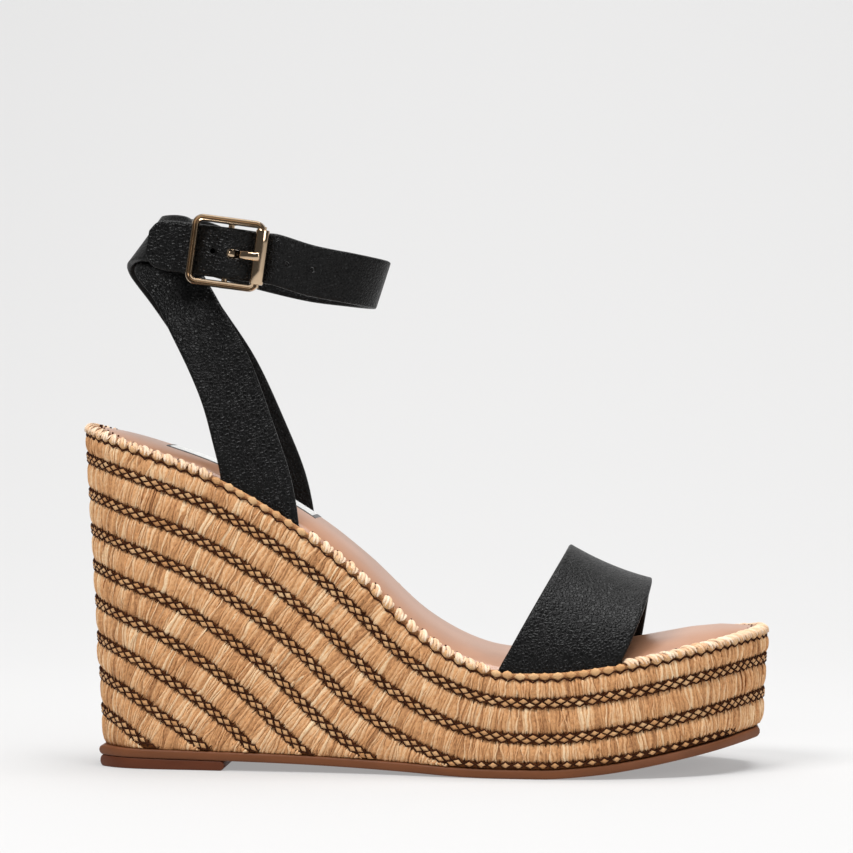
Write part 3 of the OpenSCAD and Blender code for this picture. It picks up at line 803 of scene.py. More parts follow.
class SeamLine:
    """One seam's path round the wedge, with its own directions."""

    def __init__(self, k: int, wedge: Wedge = WEDGE) -> None:
        """Walks the seam.

        Args:
            k: The seam's number, from the top.
            wedge: The wedge it runs on.
        """
        self.k, self.wedge = k, wedge
        self.s = np.linspace(0, wedge.girth, 2400)
        x = wedge.spot(self.s)[:, 0]
        z = wedge.seam_z(k, x)
        self.path = wedge.wall(self.s, np.zeros_like(z), z)
        self.path[-1] = self.path[0]
        steps = np.linalg.norm(np.diff(self.path, axis=0), axis=1)
        self.arc = np.concatenate([[0], np.cumsum(steps)])
        self.length = float(self.arc[-1])
        self.count = int(round(self.length / KNOT_PITCH))
        self.pitch = self.length / self.count

    def arc_at(self, s: np.ndarray) -> np.ndarray:
        """Distance along the seam at girth places s."""
        turns = np.floor(s / self.wedge.girth)
        return np.interp(np.mod(s, self.wedge.girth), self.s, self.arc) + turns * self.length

    def at(self, a: np.ndarray) -> tuple:
        """Place, direction, up and outward directions at distances a along the seam."""
        def point(b: np.ndarray) -> np.ndarray:
            """Seam point at a distance."""
            b = np.mod(b, self.length)
            return np.stack([np.interp(b, self.arc, self.path[:, i]) for i in range(3)], -1)
        p = point(a)
        along = unit(point(a + 0.9) - point(a - 0.9))
        out2 = self.wedge.out(np.interp(np.mod(a, self.length), self.arc, self.s))
        out = unit(np.concatenate([out2, np.full(out2.shape[:-1] + (1,), -self.wedge.lean)], -1))
        out = unit(out - along * np.sum(out * along, -1, keepdims=True))
        return p, along, np.cross(out, along), out

    def clear(self, p: np.ndarray, margin: float) -> np.ndarray:
        """Where points are above the outsole, and the seam hasn't run out on it."""
        above = p[:, 2] > self.wedge.base(p[:, 0]) + margin
        hugs = self.k == self.wedge.hug_seam
        return above & (p[:, 0] < self.wedge.hug_end) if hugs else above


@dataclass
class RaffiaWrap:
    """The sewn braids round the wedge."""

    strand: float = 0.86
    diamond_half: float = 1.12
    thread_r: float = 0.26
    spike_r: float = 0.26
    bed_reach: float = 2.3
    row_back: float = 1.5
    seed: int = 11
    wedge: Wedge = field(default_factory=lambda: WEDGE)

    def build(self) -> None:
        """Builds every braid row and every seam."""
        self.lines = {k: SeamLine(k) for k in range(1, self.wedge.seam_count + 1)}
        for k in range(1, self.wedge.seam_count + 2):
            self.braid_row(k)
        for k in range(1, self.wedge.seam_count + 1):
            self.seam(k)

    def span(self, k: int) -> tuple:
        """Girth places where row k starts and ends, and whether it goes all round."""
        s = np.linspace(0, self.wedge.girth, 2000)
        x = self.wedge.spot(s)[:, 0]
        held = runs(self.wedge.upper_z(k, x) - self.wedge.lower_z(k, x) > 0.5)
        a, b = max(held, key=lambda r: r[1] - r[0])
        return s[a], s[b], a == 0 and b == len(s) - 1

    def pull(self, s: np.ndarray, line: Optional[SeamLine], near: np.ndarray, low: bool) -> tuple:
        """How strands gather under a seam's knots.

        Args:
            s: Girth places.
            line: The seam, or None at the top and the sole.
            near: 1 at the seam, 0 away from it.
            low: Whether the seam is below the strands.

        Returns:
            Sideways shifts and depths.
        """
        if line is None:
            return np.zeros_like(s), np.zeros_like(s)
        turn = 2 * math.pi * line.arc_at(s) / line.pitch + (0 if low else math.pi)
        shift = -np.sin(turn) * line.pitch / (2 * math.pi) * 0.5 * near
        return shift, 0.4 * near * ((1 - np.cos(turn)) / 2) ** 4

    def braid_row(self, k: int) -> None:
        """One braid: a pillowed skirt of strands, flat behind."""
        rng = np.random.default_rng(self.seed + k)
        w = self.wedge
        start, end, full = self.span(k)
        n = max(int(round((end - start) / self.strand)), 4)
        widths = rng.uniform(0.55, 1.45, n)
        marks = np.concatenate([[0], np.cumsum(widths)])
        marks = start + marks / marks[-1] * (end - start)
        parts = np.array([0, 0.22, 0.5, 0.78])
        rise = np.array([0.0, 0.72, 1.0, 0.72])
        cols = (marks[:-1, None] + np.diff(marks)[:, None] * parts).ravel()
        cols = np.append(cols, marks[-1])
        crest = rng.normal(0, 0.17, n)
        relief = ((0.42 + 0.2 * rng.random(n))[:, None] * rise - 0.3 + crest[:, None]).ravel()
        relief = np.append(relief, relief[0])
        relief[::4] = -0.34 + 0.16 * rng.random(len(relief[::4]))
        relief[-1] = relief[0]
        tone = np.clip(rng.normal(0.52, 0.22, n), 0, 1)[:, None] * np.ones(4)
        # Painted shade: the first column of each strand, in the gap between strands, is darkened to
        # a quarter of its tone.
        tone[:, 0] *= 0.25
        tone = np.append(tone.ravel(), tone[0, 0])
        sway = rng.normal(0, 0.42, (2, n))
        sway = np.repeat(sway, 4, axis=1)
        sway = np.concatenate([sway, sway[:, :1]], 1)
        wave = np.append(np.repeat(rng.normal(0, 0.26, n), 4), 0) + rng.normal(0, 0.07, len(cols))
        wave[-1] = wave[0]
        levels = np.array([0, 0.04, 0.12, 0.25, 0.4, 0.55, 0.7, 0.85, 0.95, 1.0, 1.0, 0.0])
        front = np.array([1] * 10 + [0] * 2)
        above = self.lines.get(k - 1)
        below = self.lines.get(k)

        x_mid = w.spot(cols)[:, 0]
        up, low = w.upper_z(k, x_mid), w.lower_z(k, x_mid)
        mid_slope = np.gradient((up + low) / 2, cols)
        if full:
            mid_slope[0] = mid_slope[-1] = (mid_slope[1] + mid_slope[-2]) / 2
        reach = (up - low) / 2 / (1 + mid_slope**2)
        s_top = cols - mid_slope * reach
        s_low = cols + mid_slope * reach
        z_top = w.upper_z(k, w.spot(s_top)[:, 0]) + 0.35
        z_low = w.lower_z(k, w.spot(s_low)[:, 0])
        z_low = np.where(z_low > w.base(w.spot(s_low)[:, 0]) + 0.4, z_low - 0.35, z_low)
        z_top = np.maximum(z_top, z_low + 0.2)

        def place(i: np.ndarray, j: np.ndarray) -> np.ndarray:
            """Surface points of the row."""
            v = levels[j % len(levels)]
            on = front[j % len(levels)]
            s = s_top[i] + (s_low[i] - s_top[i]) * v
            z = z_top[i] + (z_low[i] - z_top[i]) * v
            shift_a, deep_a = self.pull(s, above, np.clip(1 - v * 1.6, 0, 1) ** 2, False)
            shift_b, deep_b = self.pull(s, below, np.clip(v * 1.6 - 0.6, 0, 1) ** 2, True)
            s = s + shift_a + shift_b + (sway[0, i] * (1 - v) + sway[1, i] * v
                                         + wave[i] * np.sin(v * math.pi * 2)) * on
            pillow = 0.95 * (2 * np.abs(v - 0.5)) ** 3.2
            front_in = pillow - relief[i] * (1 - 0.35 * pillow) + deep_a + deep_b
            inset = np.where(on > 0, front_in, self.row_back)
            return w.wall(s, inset, z)

        def grain(i: np.ndarray, j: np.ndarray) -> np.ndarray:
            """Fibres run across the row."""
            v = levels[j % len(levels)]
            return np.stack([cols[i], v * (z_top[i] - z_low[i]) + k * 17.0], -1)

        # Painted shade: the row's rims, where its strands tuck under the seams, are darkened by 45
        # %.
        shaded_ends = np.abs(levels - 0.5) > 0.47
        bm = bent_grid(len(cols) - 1, len(levels), place, (full, True), grain,
                       lambda i, j: tone[i] * (1 - 0.45 * shaded_ends[j % len(levels)]))
        dress(new_object(f"braid_row_{k}", bm), [Finish.BRAID],
              stands_for=[f"raffia_row_{k}"])

    def seam(self, k: int) -> None:
        """One seam: a dark bed of painted shade, two staggered rows of knots and the zigzag thread.
        """
        line, w = self.lines[k], self.wedge
        rng = np.random.default_rng(self.seed * 7 + k)
        half = self.diamond_half
        self.seam_shade_bed(k, line)
        knots, shades = [], []
        for row, phase in ((1, 0.0), (-1, 0.5)):
            a = (np.arange(line.count) + phase) * line.pitch
            p, along, up, out = line.at(a)
            p = p + up * (row * half / 2) - out * 0.45
            keep = line.clear(p, 0.9 * half)
            for q, t, u, n, ok in zip(p, along, up, out, keep):
                if ok:
                    wide = line.pitch * rng.uniform(0.4, 0.46)
                    tall = half * rng.uniform(0.72, 0.88)
                    q = q + t * rng.normal(0, 0.1) + u * rng.normal(0, 0.07)
                    knots.append(frame_matrix(q, t, u, n, (wide, tall, rng.uniform(0.6, 0.85))))
                    shades.append(float(np.clip(rng.normal(0.62, 0.16), 0, 1)))
        bm = bmesh.new()
        stamp(bm, bead_shape(0.75), knots, shades)
        dress(new_object(f"seam_{k}_knots", bm), [Finish.KNOT])

        per = 8
        a = np.arange(line.count * per) / per * line.pitch
        zig = 1 - 4 * np.abs(((a / line.pitch) % 1) - 0.5)
        p, along, up, out = line.at(a)
        jitter = rng.normal(0, 0.05, (len(a), 3))
        threads = []
        for base, sign in ((half, -1), (0.0, 1), (-half, -1)):
            path = p + up * (base + sign * zig * half / 2)[:, None] + jitter
            depth = -0.12 - 0.3 * np.abs(zig) ** 2
            path = path + out * (depth + 0.1)[:, None]
            keep = line.clear(path, 0.45)
            if keep.all():
                threads.append(tube(path, self.thread_r, 5, True))
                continue
            for first, last in runs(keep):
                if last - first > 3:
                    threads.append(tube(path[first:last + 1], self.thread_r, 5, False))
        spikes = []
        cone = bmesh.new()
        bmesh.ops.create_cone(cone, segments=5, radius1=1.0, radius2=0.15, depth=1.0,
                              cap_ends=True)
        cone_shape = as_shape(cone)
        for row, phase in ((1, 0.5), (-1, 0.0)):
            a = (np.arange(line.count) + phase) * line.pitch
            p, along, up, out = line.at(a)
            q = p + up * (row * (half * 1.0 + 0.75)) - out * 0.32
            for c, t, u, n, ok in zip(q, along, up, out, line.clear(q, 0.4)):
                if ok:
                    lift = u * row + t * rng.normal(0, 0.12)
                    spikes.append(frame_matrix(c, t, -n, lift, (self.spike_r, self.spike_r,
                                                                rng.uniform(1.3, 2.1))))
        body = join(threads)
        stamp(body, cone_shape, spikes, [0.5] * len(spikes))
        dress(new_object(f"seam_{k}_thread", body), [Finish.SEAM],
              stands_for=[f"stitch_row_{k}"])

    def seam_shade_bed(self, k: int, line: SeamLine) -> None:
        """The dark strip under a seam's knots, painted shade standing in for the shadow of the
        threads and knots.
        """
        w = self.wedge
        s = line.s
        x = w.spot(s)[:, 0]
        z = w.seam_z(k, x)
        low = np.maximum(z - self.bed_reach, w.base(x) + 0.02)
        high = np.maximum(z + self.bed_reach, low + 0.01)
        held = runs((z + w.seam_width / 2 - w.base(x) > 0.5)
                    & ((x < w.hug_end) | (k != w.hug_seam)))
        first, last = max(held, key=lambda r: r[1] - r[0])
        full = first == 0 and last == len(s) - 1
        idx = np.arange(first, last + 1, 3)
        if full:
            idx = np.append(idx, first)
        level = np.array([0, 0.12, 0.5, 0.88, 1, 1, 0])
        inset = np.array([1.25, 0.95, 0.8, 0.95, 1.25, 1.5, 1.5])

        def place(i: np.ndarray, j: np.ndarray) -> np.ndarray:
            """Surface points of the strip."""
            c, r = idx[i], j % len(level)
            return w.wall(s[c], inset[r], low[c] + (high[c] - low[c]) * level[r])

        bm = bent_grid(len(idx) - 1, len(level), place, (full, True))
        dress(new_object(f"seam_{k}_bed", bm), [Finish.SHADE_BED])


@dataclass
class EdgeTrim:
    """The whip-stitched edge round the sock."""

    pitch: float = 4.0
    bead_rise: float = -0.3
    bead_inset: float = 0.6
    bed_inset: tuple = (4.1, 4.1, 2.6, 1.6, 1.35, 1.4, 1.6)
    bed_thin: tuple = (2.2, 2.2, 1.9, 1.6, 1.35, 1.4, 1.6)
    bed_rise: tuple = (-1.7, 0.3, 0.6, 0.2, -0.7, -2.6, -2.6)
    loop_strands: tuple = (
        (((-1.6, -0.2, 0.9), (-1.0, 1.1, 0.5), (0.2, 1.75, -0.7), (1.4, 1.7, -2.0),
          (2.2, 1.15, -3.4)), 0.6, 0.34),
        (((-0.4, -0.4, 0.95), (0.1, 1.1, 0.4), (0.9, 1.7, -0.9), (1.7, 1.55, -2.2),
          (2.4, 1.1, -3.5)), 0.62, 0.36),
        (((0.9, -0.2, 0.8), (1.4, 0.95, 0.3), (2.0, 1.4, -0.9), (2.4, 1.25, -2.2)), 0.55, 0.34),
        (((-1.8, 0.3, 0.9), (-1.6, 1.25, -0.3), (-1.2, 1.5, -1.6), (-0.4, 1.3, -2.9)), 0.5, 0.3))
    seed: int = 5
    slots: tuple = (((24, 64), (-67, -38)), ((32, 71), (-67, -38)))
    wedge: Wedge = field(default_factory=lambda: WEDGE)

    def rim(self, s: np.ndarray, inset: np.ndarray, rise: np.ndarray) -> np.ndarray:
        """Points over the wedge's edge."""
        x = self.wedge.spot(s)[..., 0]
        return self.wedge.wall(s, inset, self.wedge.edge(x) + rise)

    def in_slot(self, s: np.ndarray, room: float) -> np.ndarray:
        """Where a strap comes out beside the edge."""
        p = self.wedge.spot(s)
        outer = p[:, 1] < 0
        found = np.zeros(len(s), bool)
        for side, bands in ((True, self.slots[0]), (False, self.slots[1])):
            for lo, hi in bands:
                found |= (outer == side) & (p[:, 0] > lo - room) & (p[:, 0] < hi + room)
        return found

    def build(self) -> None:
        """Builds the edge's bed, thread, beads and loops."""
        rng = np.random.default_rng(self.seed)
        w = self.wedge
        n = int(round(w.girth / self.pitch))
        s = np.arange(n) / n * w.girth
        inward, above = np.full(n, self.bead_inset), np.full(n, self.bead_rise)
        p, ahead, behind = (self.rim(s + step, inward, above) for step in (0, 1, -1))
        along = unit(ahead - behind)
        out2 = w.out(s)
        out = np.concatenate([out2, np.zeros((n, 1))], -1)
        out = unit(out - along * np.sum(out * along, -1, keepdims=True))
        up = np.cross(out, along)

        beads, shades = [], []
        for q, t, u, o in zip(p, along, up, out):
            size = (rng.uniform(1.75, 2.05), rng.uniform(1.15, 1.4), rng.uniform(0.85, 1.05))
            q = q + t * rng.normal(0, 0.12) + u * rng.normal(0, 0.1)
            beads.append(frame_matrix(q, t, u, o, size))
            shades.append(float(np.clip(rng.normal(0.72, 0.16), 0, 1)))
        bm = bmesh.new()
        stamp(bm, bead_shape(0.3), beads, shades)
        dress(new_object("edge_beads", bm), [Finish.KNOT])

        free = ~self.in_slot(s, 3.0)
        heading = np.where(p[:, 1] < 0, -1.0, 1.0)
        bm = bmesh.new()
        for k, (path, wide, thick) in enumerate(self.loop_strands):
            loop = strand_shape(path, wide, thick)
            places, shade = [], []
            for q, t, u, o, ok, side in zip(p, along, up, out, free, heading):
                if ok:
                    jig = rng.uniform(0.9, 1.08, 3)
                    q = q + t * rng.normal(0, 0.2)
                    places.append(frame_matrix(q, t * side, u, o, jig))
                    shade.append(float(np.clip(rng.normal(0.7 - 0.07 * k, 0.2), 0, 1)))
            stamp(bm, loop, places, shade)
        bmesh.ops.recalc_face_normals(bm, faces=bm.faces)
        dress(new_object("edge_loops", bm), [Finish.EDGE])

        pins = bmesh.new()
        dots = [frame_matrix(q - o * 4.4 + u * 1.35 + t * side * 2.5, t, u, o, (0.34, 0.34, 0.34))
                for q, t, u, o, ok, side in zip(p, along, up, out, free, heading) if ok]
        stamp(pins, bead_shape(0.0), dots, [0.5] * len(dots))
        threads = [pins]
        per = 8
        a = np.arange(n * per) / per
        sway = np.abs(((a % 1) - 0.5) * 2) ** 1.5
        path = self.rim(a / n * w.girth, 0.35 - 0.15 * sway, -2.15 + 1.0 * (1 - sway))
        threads.append(tube(path, 0.3, 5, True))
        dress(new_object("edge_thread", join(threads)), [Finish.SEAM])

        steps = 400
        inset, thin, rise = map(np.array, (self.bed_inset, self.bed_thin, self.bed_rise))
        held = self.in_slot(np.arange(steps) / steps * w.girth, 7.0)

        def place(i: np.ndarray, j: np.ndarray) -> np.ndarray:
            """Surface points of the edge's bed."""
            r = j % len(inset)
            c = i % steps
            return self.rim(c / steps * w.girth, np.where(held[c], thin[r], inset[r]), rise[r])

        # Painted shade: the bed behind the beads and loops takes the darkest straw tone, so it
        # reads as shade between them.
        bm = bent_grid(steps, len(inset), place, (True, True),
                       tone=lambda i, j: np.full(len(i), 0.1))
        dress(new_object("edge_bed", bm), [Finish.BRAID], stands_for=["edge_braid"])


# ---------------------------------------------------------------- sole and sock

def pad(steps: int, span: tuple, section: Callable) -> bmesh.types.BMesh:
    """A closed layer from heel to toe.

    Args:
        steps: Steps along its length.
        span: Where it starts and ends along the sandal.
        section: Gives the points of the layer's cross-section for places x and point numbers.

    Returns:
        The closed surface.
    """
    mid, half = (span[0] + span[1]) / 2, (span[1] - span[0]) / 2
    x = mid - half * np.cos(np.arange(steps + 1) / steps * math.pi)

    def place(i: np.ndarray, j: np.ndarray) -> np.ndarray:
        """Surface points of the layer."""
        return section(x[i], j % SECTION_POINTS)

    return bent_grid(steps, SECTION_POINTS, place, (False, True))


@dataclass
class Sole:
    """The outsole and the heel lift."""

    lift_front: float = -64.5
    end_round: float = 1.3
    toe_back: float = 1.2
    glue: float = 0.05
    wedge: Wedge = field(default_factory=lambda: WEDGE)

    def slab(self, span: tuple, low: Callable, high: Callable, inset: float, r: float,
             steps: int) -> bmesh.types.BMesh:
        """A flat layer with rounded edges between two heights.

        Args:
            span: Where it starts and ends along the sandal.
            low: Height of its underside.
            high: Height of its upper side.
            inset: How far its side stands in from the wall.
            r: Radius of its edges.
            steps: Steps along its length.

        Returns:
            The closed surface.
        """
        w = self.wedge
        quarter = SECTION_POINTS // 4
        mid, half = (span[0] + span[1]) / 2, (span[1] - span[0]) / 2

        def section(x: np.ndarray, j: np.ndarray) -> np.ndarray:
            """Points of the cross-section."""
            part, f = j // quarter, (j % quarter) / quarter
            end = np.clip((np.abs(x - mid) - half + self.end_round) / self.end_round, 0, 1)
            centre = (low(x) + high(x)) / 2
            deep = (high(x) - low(x)) / 2 * np.sqrt(1 - 0.85 * end**2)
            z0, z1 = centre - deep, centre + deep
            mid_in = inset + w.lean * (w.edge(x) - (z0 + z1) / 2)
            y0, y1 = w.side_y(x, -1) + mid_in, w.side_y(x, 1) - mid_in
            tip = y1 <= y0
            y0, y1 = np.where(tip, (y0 + y1) / 2, y0), np.where(tip, (y0 + y1) / 2, y1)
            rr = np.minimum(np.minimum(r, (z1 - z0) / 2), (y1 - y0) / 2)
            turn = (f - 0.5) * math.pi
            bulge_y = rr * np.cos(turn)
            round_z = np.sign(turn) * ((z1 - z0) / 2 - rr) + rr * np.sin(turn)
            flat = (y0 + rr) + (y1 - y0 - 2 * rr) * f
            y = np.choose(part, [flat, y1 - rr + bulge_y, (y0 + y1) - flat, y0 + rr - bulge_y])
            z = np.choose(part, [z0, (z0 + z1) / 2 + round_z, z1, (z0 + z1) / 2 - round_z])
            return np.stack([x, y, z], -1)

        return pad(steps, span, section)

    def build(self) -> None:
        """Builds both pieces."""
        w = self.wedge
        heel, toe = w.ring[:, 0].min(), w.ring[:, 0].max()
        tuck_heel = w.lean * (w.edge(heel) - w.base(heel)) + self.glue
        tuck_toe = w.lean * (w.edge(toe) - w.base(toe)) + self.glue
        bm = self.slab((heel + tuck_heel, toe - tuck_toe - self.toe_back), w.sole,
                       lambda x: w.base(x) - self.glue,
                       -0.15, 0.8, 120)
        dress(new_object("outsole_rubber", bm), [Finish.SOLE],
              stands_for=["outsole"])
        bm = self.slab((heel + tuck_heel + 0.4, self.lift_front), lambda x: 0 * x,
                       lambda x: w.sole(x) - 0.1, 0.1, 0.5, 60)
        dress(new_object("heel_lift_rubber", bm), [Finish.LIFT],
              stands_for=["heel_lift"])


@dataclass
class Sock:
    """The padded sock and its label."""

    crown: tuple = ((-113, 3.0), (-62, 3.6), (-30, 4.8), (60, 4.6), (88, 4.2), (108, 2.6))
    rise: float = 0.6
    inset: float = 3.3
    full_width: float = 48.0
    label_x: tuple = (-84.0, -37.0)
    label_half: float = 10.0
    border: float = 1.1
    roll_wide: float = 2.6
    roll_drop: float = 1.5
    depth: float = 3.8
    wedge: Wedge = field(default_factory=lambda: WEDGE)

    def top(self, x: np.ndarray, y: np.ndarray) -> np.ndarray:
        """Height of the sock's face."""
        w = self.wedge
        y0, y1 = w.side_y(x, -1) + self.inset, w.side_y(x, 1) - self.inset
        half = np.maximum((y1 - y0) / 2, 0.01)
        t = np.clip((y - (y0 + y1) / 2) / half, -1, 1)
        fade = np.minimum(1, 2 * half / self.full_width)
        past = (np.abs(t) - (1 - self.roll_wide / half)) * half / self.roll_wide
        roll = self.roll_drop * np.clip(past, 0, 1) ** 2
        crown = np.interp(x, *np.array(self.crown).T) * fade
        return w.edge(x) + self.rise + crown * (1 - t**4) - roll

    def build(self) -> None:
        """Builds the pad and the label."""
        w = self.wedge
        heel, toe = w.ring[:, 0].min(), w.ring[:, 0].max()
        top_points = SECTION_POINTS - 8

        def section(x: np.ndarray, j: np.ndarray) -> np.ndarray:
            """Points of the pad's cross-section."""
            f = np.where(j < top_points, j / (top_points - 1), (SECTION_POINTS - 1 - j) / 7)
            y0, y1 = w.side_y(x, -1) + self.inset, w.side_y(x, 1) - self.inset
            tip = y1 <= y0
            y0, y1 = np.where(tip, (y0 + y1) / 2, y0), np.where(tip, (y0 + y1) / 2, y1)
            edge_in = np.where(j < top_points, 0, 0.6) * np.minimum(1, (y1 - y0))
            y = y0 + edge_in + (y1 - y0 - 2 * edge_in) * (0.5 - 0.5 * np.cos(f * math.pi))
            z = np.where(j < top_points, self.top(x, y), w.edge(x) - self.depth)
            return np.stack([x, y, z], -1)

        bm = pad(140, (heel + self.inset, toe - self.inset), section)
        sock = dress(new_object("padded_sock", bm), [Finish.SOCK],
                     stands_for=["sock_liner", "foam_pad"])
        self.label("sock_label", self.label_x, self.label_half, 0.32, Finish.TAPE,
                   ["heel_label"])
        self.label("sock_label_border", (self.label_x[0] - self.border,
                                         self.label_x[1] + self.border),
                   self.label_half + self.border, 0.2, Finish.BORDER, [])

    def label(self, name: str, span: tuple, half: float, rise: float, finish: Finish,
              stands_for: Sequence[str]) -> None:
        """One thin sheet that lies on the sock."""
        nx, ny = 40, 16
        level = [0] + [1] * (ny - 1) + [0]

        def place(i: np.ndarray, j: np.ndarray) -> np.ndarray:
            """Surface points of the sheet, its face and its back."""
            x = span[0] + (span[1] - span[0]) * i / nx
            back = j > ny
            c = np.where(back, 2 * ny + 1 - j, j)
            y = half * (2 * c / ny - 1)
            lift = np.where(back, -0.15, rise * np.array(level)[np.clip(c, 0, ny)] + 0.02)
            return np.stack([x, y, self.top(x, y) + lift], -1)

        bm = bent_grid(nx, 2 * ny + 2, lambda i, j: place(i, j % (2 * ny + 2)), (False, True))
        dress(new_object(name, bm), [finish], stands_for=stands_for)


# ---------------------------------------------------------------- straps

def rung(c: Sequence[float], tilt: float, half: float, lean: float = 0.0,
         bow: Sequence[float] = (0, 0, 0)) -> np.ndarray:
    """A line across a strap.

    Args:
        c: Its middle.
        tilt: Its angle from upright towards the toe, in degrees.
        half: Half its length.
        lean: Its lean across the sandal, in degrees.
        bow: How far its middle is off straight.

    Returns:
        Its lower end, middle and upper end.
    """
    a, b = math.radians(tilt), math.radians(lean)
    d = np.array([math.sin(a) * math.cos(b), math.sin(b), math.cos(a) * math.cos(b)])
    c = np.array(c, float)
    return np.array([c - half * d, c + np.array(bow, float), c + half * d])


@dataclass
class Ribbon:
    """A strap: black leather outside, lining inside, and painted edges."""

    rungs: list
    side: int
    thick: float = 2.0
    per_rung: int = 6
    across: int = 20
    edge_r: float = 0.55
    thickness: Optional[Sequence[float]] = None

    def mesh(self) -> bmesh.types.BMesh:
        """The strap's closed surface, with a material index for face, edge and back."""
        r = np.array(self.rungs)
        n = (len(r) - 1) * self.per_rung
        t = np.minimum(np.arange(n + 1) / self.per_rung, len(r) - 1 - 1e-9)
        fine = through(r, t)
        thick = (np.full(n + 1, self.thick) if self.thickness is None
                 else np.interp(t, np.arange(len(r)), self.thickness))
        low, mid, high = fine[:, 0], fine[:, 1], fine[:, 2]

        def face(i: np.ndarray, w: np.ndarray) -> np.ndarray:
            """Face points at steps i and places w across, from -1 to 1."""
            w = w[:, None]
            return (low[i] * w * (w - 1) / 2 + mid[i] * (1 - w * w) + high[i] * w * (w + 1) / 2)

        half = np.linalg.norm(high - low, axis=1) / 2
        arc = np.concatenate([[0], np.cumsum(np.linalg.norm(np.diff(mid, axis=0), axis=1))])
        corner = 3
        top = self.across + 1
        total = 2 * (top + corner)
        w_list, d_list, kind = [], [], []
        for k in range(top):
            w_list.append((1 - 2 * k / self.across, 0.0))
            d_list.append(0.0)
            kind.append(0)
        for k in range(corner):
            a = (k + 1) / (corner + 1) * math.pi
            w_list.append((-1.0, -math.sin(a)))
            d_list.append((1 - math.cos(a)) / 2)
            kind.append(1)
        for k in range(top):
            w_list.append((-1 + 2 * k / self.across, 0.0))
            d_list.append(1.0)
            kind.append(2)
        for k in range(corner):
            a = (k + 1) / (corner + 1) * math.pi
            w_list.append((1.0, math.sin(a)))
            d_list.append((1 + math.cos(a)) / 2)
            kind.append(1)
        w_arr, d_arr = np.array(w_list), np.array(d_list)

        def place(i: np.ndarray, j: np.ndarray) -> np.ndarray:
            """Surface points of the strap."""
            j = j % total
            extra = self.edge_r / half[i]
            w = w_arr[j, 0] * (1 - extra) + w_arr[j, 1] * extra
            a, b = np.maximum(i - 1, 0), np.minimum(i + 1, n)
            along = face(b, w) - face(a, w)
            across = face(i, w + 0.05) - face(i, w - 0.05)
            out = self.side * unit(np.cross(across, along))
            return face(i, w) - out * (d_arr[j] * thick[i])[:, None]

        def grain(i: np.ndarray, j: np.ndarray) -> np.ndarray:
            """Lengths along and across the strap."""
            return np.stack([arc[i], w_arr[j % total, 0] * half[i]], -1)

        bm = bent_grid(n, total, place, (False, True), grain)
        kinds = np.array(kind)
        self.paint(bm, n, total, kinds)
        return bm

    @staticmethod
    def paint(bm: bmesh.types.BMesh, n: int, total: int, kinds: np.ndarray) -> None:
        """Marks each face as face leather, edge paint or backing."""
        for f in bm.faces:
            f.material_index = 1
        bm.faces.ensure_lookup_table()
        for c, f in enumerate(list(bm.faces)[:n * total]):
            j = c // n
            a, b = int(kinds[j % total]), int(kinds[(j + 1) % total])
            f.material_index = a if a == b else 1


